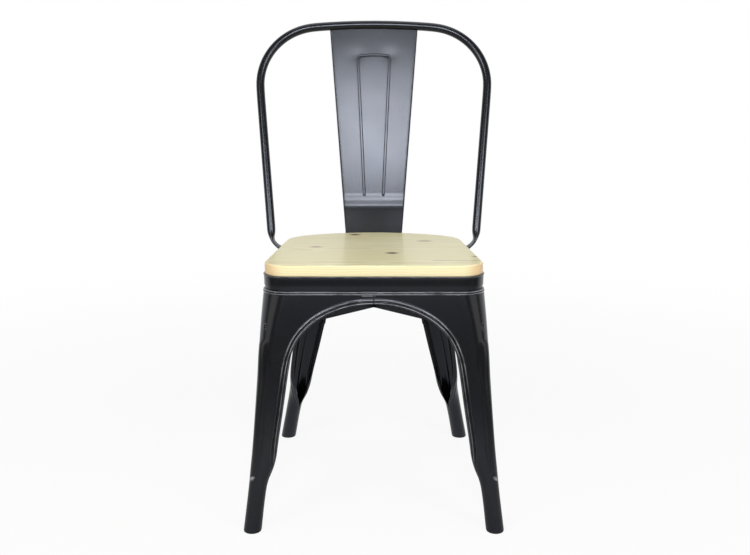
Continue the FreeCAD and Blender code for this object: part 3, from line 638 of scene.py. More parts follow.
class NodeTool:
    """A geometry tree with named inputs, run once on an object and turned into a plain mesh."""

    KINDS = {"value": "NodeSocketFloat", "count": "NodeSocketInt", "finish": "NodeSocketMaterial"}

    def __init__(self, name: str, inputs: dict[str, str]) -> None:
        """Start a tree.

        Args:
            name: The tree's name.
            inputs: Kind of each named input.
        """
        self.tree = bpy.data.node_groups.new(name, "GeometryNodeTree")
        interface = self.tree.interface
        interface.new_socket("Geometry", in_out="INPUT", socket_type="NodeSocketGeometry")
        self.keys = {}
        for label, kind in inputs.items():
            made = interface.new_socket(label, in_out="INPUT", socket_type=self.KINDS[kind])
            self.keys[label] = made.identifier
        interface.new_socket("Geometry", in_out="OUTPUT", socket_type="NodeSocketGeometry")
        self.graph = Graph(self.tree)
        self.entry = self.graph.node("NodeGroupInput")

    def input(self, label: str) -> Sock:
        """The tree's input of that name."""
        return self.entry.sibling(label)

    def named(self, label: str, kind: str = "FLOAT_VECTOR") -> Sock:
        """An attribute that the object's mesh carries."""
        return self.graph.node("GeometryNodeInputNamedAttribute", {"data_type": kind}, {"Name": label})

    def close(self, geometry: Sock) -> None:
        """End the tree in real geometry with its material.

        Args:
            geometry: What the tree has made.
        """
        real = self.graph.node("GeometryNodeRealizeInstances", None, {0: geometry})
        dressed = self.graph.node(
            "GeometryNodeSetMaterial", None, {"Geometry": real, "Material": self.input("Finish")})
        self.graph.node("NodeGroupOutput", None, {0: dressed})

    def sweep(self, capped: bool = False) -> Sock:
        """Tube along the guide's edges, with the tree's own Radius and Facets.

        Args:
            capped: Whether the tube's ends are closed.

        Returns:
            The tube's mesh.
        """
        path = self.graph.node("GeometryNodeMeshToCurve", None, {0: self.entry})
        sizes = {"Resolution": self.input("Facets"), "Radius": self.input("Radius")}
        shape = self.graph.node("GeometryNodeCurvePrimitiveCircle", None, sizes)
        sockets = {"Curve": path, "Profile Curve": shape, "Fill Caps": capped}
        return self.graph.node("GeometryNodeCurveToMesh", None, sockets)

    def copies(self, points: Sock, piece: Sock, **sockets: Setting) -> Sock:
        """A copy of the piece on each point."""
        return self.graph.node(
            "GeometryNodeInstanceOnPoints", None, {"Points": points, "Instance": piece, **sockets})

    def run(
        self, name: str, guide: bpy.types.Object, values: dict[str, Any], crease: float = 40.0
    ) -> bpy.types.Object:
        """Run the tree on a guide object and keep the result.

        Args:
            name: The new piece's name.
            guide: The object whose points or edges the tree follows. It is removed.
            values: The inputs' values.
            crease: Edges that turn by more than this many degrees stay sharp.

        Returns:
            The new piece.
        """
        modifier = guide.modifiers.new(name, "NODES")
        modifier.node_group = self.tree
        for label, value in values.items():
            modifier[self.keys[label]] = value
        depsgraph = bpy.context.evaluated_depsgraph_get()
        mesh = bpy.data.meshes.new_from_object(guide.evaluated_get(depsgraph), depsgraph=depsgraph)
        mesh.name = name
        bpy.data.objects.remove(guide)
        # Drop every loose attribute except the painted highlight share.
        spare = [a.name for a in mesh.attributes if not a.is_required and not a.is_internal]
        for attribute in spare:
            if attribute != PAINTED_HIGHLIGHT_AND_WEAR:
                mesh.attributes.remove(mesh.attributes[attribute])
        return finish_mesh(add_object(name, mesh), crease)


def guide_lines(
    name: str,
    paths: Sequence[Line],
    closed: bool = False,
    facts: Optional[dict[str, Sequence[Any]]] = None,
) -> bpy.types.Object:
    """Mesh of edges along paths, for a tree to follow.

    Args:
        name: The object's name.
        paths: Places in millimetres, along each path.
        closed: Whether each path's last point joins its first.
        facts: Attributes, one value or vector for each point.

    Returns:
        The new object.
    """
    points, edges = [], []
    for path in paths:
        first, count = len(points), len(path)
        edges += [(first + i, first + (i + 1) % count) for i in range(count if closed else count - 1)]
        points += path
    mesh = bpy.data.meshes.new(name)
    mesh.from_pydata([p * MM for p in points], edges, [])
    for label, values in (facts or {}).items():
        vector = isinstance(values[0], Vector)
        layer = mesh.attributes.new(label, "FLOAT_VECTOR" if vector else "FLOAT", "POINT")
        flat = [part for value in values for part in value] if vector else values
        layer.data.foreach_set("vector" if vector else "value", flat)
    return add_object(name, mesh)


@dataclass(frozen=True)
class Station:
    """One height of a leg: corner centre and radius, turns in degrees, curl and flange length."""

    z: float
    x: float
    y: float
    radius: float
    side: float
    main: float
    curl: float
    flange: float

    def values(self) -> tuple[float, ...]:
        """Everything that changes with the height."""
        return self.x, self.y, self.radius, self.side, self.main, self.curl, self.flange


@dataclass(frozen=True)
class Arch:
    """Half of the elliptical arch cut between two legs."""

    half: float
    foot: float
    top: float = 387.0

    def edge(self, angle: float) -> tuple[float, float]:
        """Place across and height of the arch's edge at an angle from its springing."""
        return self.half * math.cos(angle), self.foot + (self.top - self.foot) * math.sin(angle)

    def start(self, z: float) -> float:
        """Angle at which the edge is at height z."""
        return math.asin((z - self.foot) / (self.top - self.foot))

    def distance(self, across: float, z: float) -> float:
        """Distance of a point of the panel from the arch's edge.

        Args:
            across: Distance across from the arch's middle.
            z: Height.

        Returns:
            The distance, positive on the sheet's side.
        """
        u = across / self.half
        v = max(0.0, z - self.foot) / (self.top - self.foot)
        length = math.hypot(u, v)
        slope = math.hypot(u / self.half, v / (self.top - self.foot)) / max(length, 1e-6)
        return (length - 1.0) / max(slope, 1e-6)


@dataclass(frozen=True)
class LegForm:
    """What differs between the front and the rear legs."""

    stations: tuple[Station, ...]
    main_arch: Arch
    side_arch: Arch
    seam_y: float
    leg_end: float
    pipe_height: float
    has_stop: bool


@dataclass(frozen=True)
class Ridge:
    """Pressed ridge beside an edge: its crest's distance, its half width and its height."""

    place: float
    half: float
    height: float

    def rise(self, distance: float) -> float:
        """Height of the ridge at a distance from the edge."""
        return self.height * swell(distance - self.place, self.half)


EDGE_BULGE = 0.35
TUBE_RADIUS = 13.8
TUBE_CURL = 1.0 / TUBE_RADIUS
TUBE_FLANGE = math.radians(135.0) * TUBE_RADIUS - 0.3
FOOT_Y = 225.5
SEAM_Y = -24.0


@dataclass
class PressedLegs:
    """The four legs, each pressed from one sheet with its halves of the two aprons beside it."""

    finish: Finish
    sheet: float = 1.2
    bottom: float = 3.0
    top: float = 409.0
    corner_top: float = 400.0
    lip_radius: float = 2.4
    lip_depth: float = 7.0
    tube_lip_radius: float = 0.5
    tube_lip_depth: float = 0.9
    lip_starts: float = 75.0
    lip_full: float = 140.0
    apron_blend: float = 8.0
    crimp_proud: float = 1.3
    crimp_step: float = 2.6
    crimp_ridges: tuple[Ridge, ...] = (Ridge(1.6, 1.5, 0.9), Ridge(3.2, 1.1, -0.6), Ridge(4.8, 1.5, 0.9))
    # Half width of the painted highlight line on each crimp bead's crest, partly real rubbing of the paint.
    crimp_highlight_and_rub: float = 1.1
    border_ridges: tuple[Ridge, ...] = (Ridge(3.0, 2.0, 1.05), Ridge(5.6, 2.4, -1.1), Ridge(8.2, 2.3, 1.1))
    border_fades: tuple[float, float] = (14.0, 4.0)
    # Painted highlight lines on the border's bead, its outer ridge and the rolled edge, partly real rubbing
    # of the paint. Below the rise they dim to the low shares, as the highlights do lower down the legs.
    bead_highlight_and_rub: float = 1.2
    ridge_highlight_and_rub: float = 1.3
    roll_highlight_and_rub: tuple[float, float, float] = (-1.0, 1.5, 0.6)
    highlight_and_rub_rises: tuple[float, float] = (230.0, 315.0)
    bead_highlight_and_rub_low: float = 0.5
    ridge_highlight_and_rub_low: float = 0.08
    pipe_rises: tuple[float, float] = (105.0, 165.0)
    pipe_ends: tuple[float, float] = (325.0, 345.0)
    pipe_widens: tuple[float, float] = (180.0, 320.0)
    pipe_half: tuple[float, float] = (8.5, 12.5)
    pipe_low: float = 0.34
    pipe_swells: tuple[float, float] = (62.0, 4.0)
    cap_reach: float = 13.0
    cap_power: float = 0.65
    rear_pipe: float = 0.8
    rear_pipe_ends: tuple[float, float] = (290.0, 345.0)
    pipe_groove: float = 0.9
    groove_ends: tuple[float, float] = (270.0, 318.0)
    stop_height: float = 316.0
    nub_height: float = 95.0
    nub_proud: float = 1.8
    nub_size: tuple[float, float] = (7.5, 3.2)
    nub_slant: float = 38.0
    # Painted highlight on the nub's top, partly real rubbing of the paint.
    nub_highlight_and_rub: float = 1.5
    row_step: float = 3.5
    row_sag: float = 1.6
    fine_step: float = 1.0
    fine_rows: tuple[float, float] = (85.0, 106.0)
    arch_rows: int = 100
    seam_rows: int = 40
    corner_columns: int = 25
    front: LegForm = LegForm(
        stations=(
            Station(0.0, 204.8, FOOT_Y, TUBE_RADIUS, 0.0, 90.0, TUBE_CURL, TUBE_FLANGE),
            Station(75.0, 194.8, 219.8, TUBE_RADIUS, 0.0, 90.0, TUBE_CURL, TUBE_FLANGE),
            Station(110.0, 190.8, 216.6, 14.0, -1.0, 90.0, 0.042, 29.5),
            Station(150.0, 186.1, 212.7, 14.4, -2.0, 90.0, 0.006, 27.5),
            Station(210.0, 179.9, 206.5, 15.5, -3.0, 90.0, 0.0, 30.4),
            Station(290.0, 169.3, 195.1, 20.0, -4.0, 90.0, 0.0, 32.2),
            Station(350.0, 156.7, 182.4, 28.4, -4.4, 90.0, 0.0, 33.4),
            Station(409.0, 140.0, 166.5, 40.0, -4.55, 90.0, 0.0, 33.4),
        ),
        main_arch=Arch(137.0, 285.0),
        side_arch=Arch(136.0, 285.0),
        seam_y=-SEAM_Y,
        leg_end=292.0,
        pipe_height=3.4,
        has_stop=True,
    )
    rear: LegForm = LegForm(
        stations=(
            Station(0.0, 182.1, FOOT_Y, TUBE_RADIUS, 0.0, 90.0, TUBE_CURL, TUBE_FLANGE),
            Station(75.0, 167.1, 208.0, TUBE_RADIUS, 0.0, 90.0, TUBE_CURL, TUBE_FLANGE),
            Station(110.0, 160.2, 198.8, 14.0, 3.0, 90.0, 0.042, 29.5),
            Station(150.0, 153.2, 187.9, 14.6, 6.0, 90.0, 0.006, 27.5),
            Station(210.0, 141.5, 171.0, 16.0, 9.0, 89.0, 0.0, 30.4),
            Station(262.0, 129.4, 153.5, 19.5, 10.5, 87.0, 0.0, 31.4),
            Station(290.0, 123.0, 142.0, 23.0, 10.8, 84.0, 0.0, 33.4),
            Station(350.0, 107.0, 97.0, 42.0, 11.5, 71.0, 0.0, 33.4),
            Station(387.0, 93.05, 64.0, 64.0, 8.2, 63.0, 0.0, 33.4),
            Station(409.0, 88.0, 46.5, 75.0, 4.55, 59.5, 0.0, 33.4),
        ),
        main_arch=Arch(100.5, 225.0),
        side_arch=Arch(149.0, 255.0),
        seam_y=SEAM_Y,
        leg_end=262.0,
        pipe_height=1.3,
        has_stop=False,
    )
    edge_steps: tuple[float, ...] = tuple(i * 0.8 for i in range(1, 21))
    panel_columns: int = 32

    def build(self) -> None:
        """Make and dress the four legs."""
        for end, form, sign_y in (("front", self.front, -1.0), ("rear", self.rear, 1.0)):
            for side, sign_x in (("left", -1.0), ("right", 1.0)):
                name = f"{end}_{side}_pressed_leg"
                obj = self.leg(name, form, sign_x, sign_y)
                fit(obj, self.finish, f"{end}_{side}_leg")

    @staticmethod
    def section(form: LegForm, z: float) -> tuple[float, ...]:
        """Corner centre, radius, side and main turn, main bow, curl and flange length at height z.

        Args:
            form: The leg's form.
            z: Height.

        Returns:
            Everything that shapes the leg's outline at that height.
        """
        stations = form.stations
        i = 0
        while i < len(stations) - 2 and z > stations[i + 1].z:
            i += 1
        a, b = stations[i], stations[i + 1]
        before = stations[i - 1] if i > 0 else None
        after = stations[i + 2] if i + 2 < len(stations) else None
        span = b.z - a.z
        t = min(1.0, max(0.0, (z - a.z) / span))
        values = []
        for k, (low, high) in enumerate(zip(a.values(), b.values())):
            chord = (high - low) / span
            start = (high - before.values()[k]) / (b.z - before.z) if before else chord
            end = (after.values()[k] - low) / (after.z - a.z) if after else chord
            value = (2 * t ** 3 - 3 * t ** 2 + 1) * low + (t ** 3 - 2 * t ** 2 + t) * span * start
            values.append(value + (3 * t ** 2 - 2 * t ** 3) * high + (t ** 3 - t ** 2) * span * end)
        x, y, radius, side, main, curl, flange = values
        side, main = math.radians(side), math.radians(main)
        bow = curl
        if math.cos(main) > 0.001:
            bow += 1.0 / (radius + x / math.cos(main))
        return x, y, radius, side, main, bow, curl, flange

    @staticmethod
    def walk(
        x: float, y: float, angle: float, curve: float, turn: float, distance: float
    ) -> tuple[float, ...]:
        """Point and facing angle after a distance along a flange that curves.

        Args:
            x: Place across.
            y: Place along Y.
            angle: Facing angle at the start.
            curve: Curvature of the flange.
            turn: 1 on the main flange and -1 on the side flange.
            distance: How far to go.

        Returns:
            The point reached and the facing angle there.
        """
        if abs(curve) < 1e-7:
            return x - turn * math.sin(angle) * distance, y + turn * math.cos(angle) * distance, angle
        end = angle + turn * curve * distance
        x += (math.cos(end) - math.cos(angle)) / curve
        y += (math.sin(end) - math.sin(angle)) / curve
        return x, y, end

    def main_reach(self, form: LegForm, z: float, x_edge: float) -> float:
        """Length of the main flange from its corner to the wanted x at height z.

        Args:
            form: The leg's form.
            z: Height.
            x_edge: Where the flange's edge should be.

        Returns:
            The length.
        """
        x, _, radius, _, main, bow, _, _ = self.section(form, z)
        start = x + radius * math.cos(main)
        if bow < 1e-7:
            return (start - x_edge) / math.sin(main)
        return (math.acos(math.cos(main) + bow * (x_edge - start)) - main) / bow

    def side_reach(self, form: LegForm, z: float, y_edge: float) -> float:
        """Length of the side flange from its corner to the wanted y at height z."""
        _, y, radius, side, _, _, _, _ = self.section(form, z)
        return (y + radius * math.sin(side) - y_edge) / math.cos(side)

    def rows(self, form: LegForm) -> list[tuple[float, ...]]:
        """Rows up a leg: corner height, then height, reach and apron share of both edges.

        Args:
            form: The leg's form.

        Returns:
            One row for each height.
        """
        rows = []
        z = self.bottom
        while z < form.leg_end - 0.5 * self.row_step:
            flange = self.section(form, z)[7]
            rows.append((z, z, flange, 0.0, z, flange, 0.0))
            z += self.fine_step if self.fine_rows[0] < z < self.fine_rows[1] else self.row_step
        start_main = form.main_arch.start(form.leg_end)
        start_side = form.side_arch.start(form.leg_end)
        quarter = math.pi / 2
        for i in range(self.arch_rows + 1):
            t = i / self.arch_rows
            z = mix(form.leg_end, self.corner_top, t)
            across, main_z = form.main_arch.edge(mix(start_main, quarter, t))
            reach = self.main_reach(form, main_z, across)
            across, side_z = form.side_arch.edge(mix(start_side, quarter, t))
            side = self.side_reach(form, side_z, form.seam_y + across)
            rows.append((z, main_z, reach, 0.0, side_z, side, 0.0))
        for i in range(1, self.seam_rows + 1):
            t = i / self.seam_rows
            z = mix(self.corner_top, self.top, t)
            edge = mix(form.main_arch.top, self.top, t)
            apron = blend(edge, form.main_arch.top, form.main_arch.top + self.apron_blend)
            rows.append((z, edge, self.main_reach(form, edge, 0.0), apron,
                         edge, self.side_reach(form, edge, form.seam_y), apron))
        return rows

    def crimp(self, z: float) -> float:
        """How far the panel stands out near its crimped top edge: two beads over a step.

        Args:
            z: Height.

        Returns:
            The height outwards.
        """
        drop = self.top - z
        step = self.crimp_proud * blend(drop, 0.0, self.crimp_step)
        return step + sum(ridge.rise(drop) for ridge in self.crimp_ridges)

    def pipe(self, form: LegForm, z: float, along: float) -> float:
        """Rounded pipe pressed down the leg's corner, with a groove beside it.

        Args:
            form: The leg's form.
            z: Height on the leg.
            along: Distance round the leg from the corner's middle, main flange positive.

        Returns:
            Height of the pressing.
        """
        fade = blend(z, *self.pipe_rises)
        if form.has_stop:
            head = self.stop_height
            rise = max(0.0, z - head) / self.cap_reach
            cap = max(0.0, 1.0 - rise ** 2) ** self.cap_power
            grown = blend(z, head - self.pipe_swells[0], head - self.pipe_swells[1])
            tall = cap * mix(self.pipe_low, 1.0, grown)
        else:
            tall = (1.0 - blend(z, *self.rear_pipe_ends)) * self.rear_pipe
        half = mix(*self.pipe_half, blend(z, *self.pipe_widens))
        ridge = form.pipe_height * tall * swell(along + 1.0, half) ** 0.8
        groove = self.pipe_groove * (1.0 - blend(z, *self.groove_ends))
        groove *= swell(along - half - 2.4, 3.6) + 0.5 * swell(along + half + 4.0, 4.0)
        return fade * (ridge - groove)

    def nub(self, form: LegForm, z: float, along: float) -> float:
        """Small slanted nub low on the front legs' outer corner, as a share of its height.

        Args:
            form: The leg's form.
            z: Height.
            along: Distance round the leg from the corner's middle.

        Returns:
            1 at its top, falling to 0 at its foot.
        """
        if not form.has_stop:
            return 0.0
        slant = math.radians(self.nub_slant)
        up = z - self.nub_height
        long = (along * math.cos(slant) + up * math.sin(slant)) / self.nub_size[0]
        short = (up * math.cos(slant) - along * math.sin(slant)) / self.nub_size[1]
        return max(0.0, 1.0 - long * long - short * short)

    def pressing(
        self, form: LegForm, turn: float, at: Vector, beyond: float, around: float, lip: float
    ) -> tuple[float, float]:
        """Everything pressed at one point of a leg, and the painted highlight on its crests, partly real
        rubbing of the paint.

        Args:
            form: The leg's form.
            turn: 1 on the main flange, -1 on the side flange and 0 on the corner.
            at: The point on the plain sheet.
            beyond: Distance along the row to the flange's edge.
            around: Distance round the leg from the corner's middle.
            lip: How far the rolled edge has grown at this height.

        Returns:
            Height outwards of the sheet, and the painted highlight share from 0 to 1.
        """
        drop = self.top - at.z
        height = self.crimp(at.z)
        # Painted highlight lines on the crimp beads' crests.
        highlight_and_rub = sum(swell(drop - ridge.place, self.crimp_highlight_and_rub) for ridge in self.crimp_ridges[::2])
        high = blend(at.z, form.leg_end - 6.0, form.leg_end + 26.0)
        if turn:
            arch = form.main_arch if turn > 0 else form.side_arch
            across = at.x if turn > 0 else at.y - form.seam_y
            share = lip * (1.0 - blend(drop, *self.border_fades))
            distance = mix(beyond, arch.distance(across, at.z), high)
            height += share * sum(ridge.rise(distance) for ridge in self.border_ridges)
            bead, _, ridge = self.border_ridges
            inner = swell(distance - bead.place, self.bead_highlight_and_rub)
            if distance < 0.0:
                place, half, depth = self.roll_highlight_and_rub
                inner += depth * swell(distance - place, half)
            outer = swell(distance - ridge.place, self.ridge_highlight_and_rub)
            # The painted highlight lines dim lower down the leg, where the highlights are dimmer.
            up = blend(at.z, *self.highlight_and_rub_rises)
            highlight_and_rub += share * inner * mix(self.bead_highlight_and_rub_low, 1.0, up)
            highlight_and_rub += share * outer * mix(self.ridge_highlight_and_rub_low, 1.0, up)
        low = 1.0 - blend(at.z, *self.pipe_ends)
        nub = self.nub(form, at.z, around)
        height += self.pipe(form, at.z, around) * low + self.nub_proud * nub
        # The nub's top carries a painted highlight too.
        return height, min(1.0, highlight_and_rub + self.nub_highlight_and_rub * nub)

    def flange(
        self, form: LegForm, row: tuple[float, float, float, float], turn: float
    ) -> list[tuple[Vector, Vector, float]]:
        """Outer points, facings and painted highlight shares of one flange, from its corner to its rolled
        edge's end.

        Args:
            form: The leg's form.
            row: Corner height, edge height, reach and apron share.
            turn: 1 for the main flange and -1 for the side flange.

        Returns:
            Points of the outer skin, each with the way that it faces and its painted highlight share.
        """
        corner_z, edge_z, reach, apron = row
        lip = blend(edge_z, self.lip_starts, self.lip_full)
        grown = lip * (1.0 - apron)
        depth = mix(self.tube_lip_depth, self.lip_depth, grown)
        bend = mix(self.tube_lip_radius, self.lip_radius, grown)
        flat = reach - bend
        border = min(self.edge_steps[-1], flat * 0.8)
        near = [flat - border * step / self.edge_steps[-1] for step in self.edge_steps[::-1]]
        steps = [(near[0] * i / self.panel_columns, 0.0, 0.0) for i in range(1, self.panel_columns)]
        steps += [(along, 0.0, 0.0) for along in near] + [(flat, 0.0, 0.0)]
        for angle in (22.5, 45.0, 67.5, 90.0):
            a = math.radians(angle)
            steps.append((flat + bend * math.sin(a), bend * (1.0 - math.cos(a)), a))
        steps += [(reach, mix(bend, depth, i / 3), math.pi / 2) for i in (1, 2, 3)]
        points = []
        for along, inward, tilt in steps:
            z = corner_z + (edge_z - corner_z) * min(1.0, along / reach) ** self.row_sag
            x, y, radius, side, main, bow, curl, _ = self.section(form, z)
            angle = main if turn > 0 else side
            curve = bow if turn > 0 else curl
            x, y, angle = self.walk(x + radius * math.cos(angle), y + radius * math.sin(angle),
                                    angle, curve, turn, along)
            around = turn * (radius * (main - side) / 2 + along)
            height, highlight_and_rub = self.pressing(form, turn, Vector((x, y, z)), flat - along, around, lip)
            normal = Vector((math.cos(angle), math.sin(angle), 0.0))
            onward = Vector((-turn * math.sin(angle), turn * math.cos(angle), 0.0))
            facing = normal * math.cos(tilt) + onward * math.sin(tilt)
            points.append((Vector((x, y, z)) + normal * (height - inward), facing, highlight_and_rub))
        return points

    def corner(self, form: LegForm, z: float) -> list[tuple[Vector, Vector, float]]:
        """Outer points, facings and painted highlight shares round the leg's corner at height z, from side
        to main.

        Args:
            form: The leg's form.
            z: Height.

        Returns:
            Points of the outer skin, each with the way that it faces and its painted highlight share.
        """
        x, y, radius, side, main, _, _, _ = self.section(form, z)
        points = []
        for i in range(self.corner_columns):
            angle = mix(side, main, i / (self.corner_columns - 1))
            normal = Vector((math.cos(angle), math.sin(angle), 0.0))
            base = Vector((x, y, z)) + normal * radius
            around = radius * (angle - (main + side) / 2)
            height, highlight_and_rub = self.pressing(form, 0.0, base, 0.0, around, 0.0)
            points.append((base + normal * height, normal, highlight_and_rub))
        return points

    def leg(self, name: str, form: LegForm, sign_x: float, sign_y: float) -> bpy.types.Object:
        """One leg as a closed sheet: both skins, rounded edges and end strips.

        Args:
            name: The piece's name.
            form: The leg's form.
            sign_x: -1 on the left and 1 on the right.
            sign_y: -1 at the front and 1 at the rear.

        Returns:
            The leg's object.
        """
        points, highlight_and_rub = [], []
        half = 0
        rows = self.rows(form)
        for z, main_z, main_length, main_apron, side_z, side_length, side_apron in rows:
            side = self.flange(form, (z, side_z, side_length, side_apron), -1.0)
            main = self.flange(form, (z, main_z, main_length, main_apron), 1.0)
            skin = side[::-1] + self.corner(form, z) + main
            half = len(skin)
            rounded = []
            for (at, facing, _), sign in ((skin[-1], 1.0), (skin[0], -1.0)):
                onward = Vector((-facing.y, facing.x, 0.0)) * sign
                rounded.append(at - facing * (self.sheet / 2) + onward * (self.sheet * EDGE_BULGE))
            inner = [at - facing * self.sheet for at, facing, _ in reversed(skin)]
            ring = [at for at, _, _ in skin] + rounded[:1] + inner + rounded[1:]
            points += [Vector((sign_x * p.x, sign_y * p.y, p.z)) for p in ring]
            # The outer skin carries the painted highlight shares. The edges and the inner skin carry none.
            highlight_and_rub += [rub for _, _, rub in skin] + [0.0] * (half + 2)
        return make_mesh(name, points, sheet_faces(len(rows), half), 50.0, highlight_and_rub)


@dataclass(frozen=True)
class SeatPlan:
    """The seat's outline seen from above: straight front, tapering sides and a bowed rear."""

    front_y: float = -206.5
    rear_y: float = 145.5
    front_x: float = 140.0
    front_radius: float = 40.0
    rear_x: float = 88.0
    rear_corner_y: float = 46.5
    rear_radius: float = 75.0
    corner_points: int = 18
    bow_points: int = 24

    def bow(self) -> tuple[float, float, float]:
        """Centre height, radius and end angle of the bowed rear.

        Returns:
            The three numbers.
        """
        rise = self.rear_y - self.rear_corner_y
        radius = (self.rear_x ** 2 + rise ** 2 - self.rear_radius ** 2) / (2.0 * (rise - self.rear_radius))
        middle = self.rear_y - radius
        return middle, radius, math.atan2(self.rear_corner_y - middle, self.rear_x)

    def half(self, offset: float) -> list[tuple[float, float]]:
        """Right half of the outline grown by offset, from the front's middle to the rear's.

        Args:
            offset: How far the outline is grown.

        Returns:
            Places in order.
        """
        front = (self.front_x, self.front_y + self.front_radius)
        rear = (self.rear_x, self.rear_corner_y)
        reach = math.hypot(rear[0] - front[0], rear[1] - front[1])
        heading = math.atan2(rear[1] - front[1], rear[0] - front[0])
        side = heading - math.acos((self.front_radius - self.rear_radius) / reach)
        middle, radius, turn = self.bow()
        quarter = math.pi / 2
        points = [(front[0] * i / 6, self.front_y - offset) for i in range(6)]
        for centre, size, start, end, count in (
            (front, self.front_radius, -quarter, side, self.corner_points),
            (rear, self.rear_radius, side, turn, self.corner_points),
            ((0.0, middle), radius, turn, quarter, self.bow_points),
        ):
            for i in range(count):
                angle = mix(start, end, i / count)
                points.append((centre[0] + (size + offset) * math.cos(angle),
                               centre[1] + (size + offset) * math.sin(angle)))
        return points + [(0.0, self.rear_y + offset)]

    def ring(self, offset: float, z: float) -> Line:
        """Closed outline grown by offset at height z, counter-clockwise from the front's middle."""
        right = self.half(offset)
        return [Vector((x, y, z)) for x, y in right + [(-x, y) for x, y in right[-2:0:-1]]]


def lofted(name: str, rings: Sequence[Line], crease: float = 40.0) -> bpy.types.Object:
    """Closed mesh through rings of equal length, capped at both ends.

    Args:
        name: The piece's name.
        rings: The outlines, from one end to the other.
        crease: Edges that turn by more than this many degrees stay sharp.

    Returns:
        The new object.
    """
    count = len(rings[0])
    points = [p for ring in rings for p in ring]
    faces = loop_faces(len(rings), count)
    faces.append(tuple(range(count)))
    last = (len(rings) - 1) * count
    faces.append(tuple(range(last + count - 1, last - 1, -1)))
    return make_mesh(name, points, faces, crease)


@dataclass
class SeatBoard:
    """Seat board of pine staves glued edge to edge, with eased edges."""

    finish: Finish
    plan: SeatPlan
    bottom: float = 433.0
    thickness: float = 18.0
    inset: float = 1.0
    top_round: float = 2.5
    bottom_round: float = 1.2
    staves: int = 4
    joint: float = 0.25

    def build(self) -> None:
        """Cut the board into its staves and dress them."""
        width = (self.plan.rear_y - self.plan.front_y) / self.staves
        for i in range(self.staves):
            board = lofted(f"pine_stave_{i + 1}", self.rings(), 50.0)
            start = self.plan.front_y + i * width
            self.trim(board, start, start + width, i)
            fit(board, self.finish, f"seat_stave_{i + 1}")

    def rings(self) -> list[Line]:
        """Outlines from the board's underside to its top.

        Returns:
            Closed outlines of equal length.
        """
        rings = []
        top = self.bottom + self.thickness
        for step in range(5):
            angle = math.pi / 2 * step / 4
            inward = self.bottom_round * (1.0 - math.sin(angle))
            z = self.bottom + self.bottom_round * (1.0 - math.cos(angle))
            rings.append(self.plan.ring(-self.inset - inward, z))
        for step in range(7):
            angle = math.pi / 2 * step / 6
            inward = self.top_round * (1.0 - math.cos(angle))
            z = top - self.top_round * (1.0 - math.sin(angle))
            rings.append(self.plan.ring(-self.inset - inward, z))
        return rings

    def trim(self, board: bpy.types.Object, front: float, rear: float, index: int) -> None:
        """Keep one stave of the board, with tiny bevels along its glued top edges.

        Args:
            board: The whole board, which is cut.
            front: Where the stave starts.
            rear: Where the stave ends.
            index: Which stave it is, from the front.
        """
        work = bmesh.new()
        work.from_mesh(board.data)
        for y, sign in ((front, -1.0), (rear, 1.0)):
            if (index == 0 and sign < 0) or (index == self.staves - 1 and sign > 0):
                continue
            geometry = work.verts[:] + work.edges[:] + work.faces[:]
            cut = bmesh.ops.bisect_plane(
                work, geom=geometry, plane_co=(0, y * MM, 0), plane_no=(0, sign, 0), clear_outer=True)
            edges = [e for e in cut["geom_cut"] if isinstance(e, bmesh.types.BMEdge)]
            filled = bmesh.ops.holes_fill(work, edges=edges)
            rim = [e for f in filled["faces"] for e in f.edges
                   if min(v.co.z for v in e.verts) > (self.bottom + self.thickness - 0.01) * MM]
            bmesh.ops.bevel(work, geom=rim, offset=self.joint * MM, segments=1, affect="EDGES")
        work.to_mesh(board.data)
        work.free()
        finish_mesh(board, 50.0)


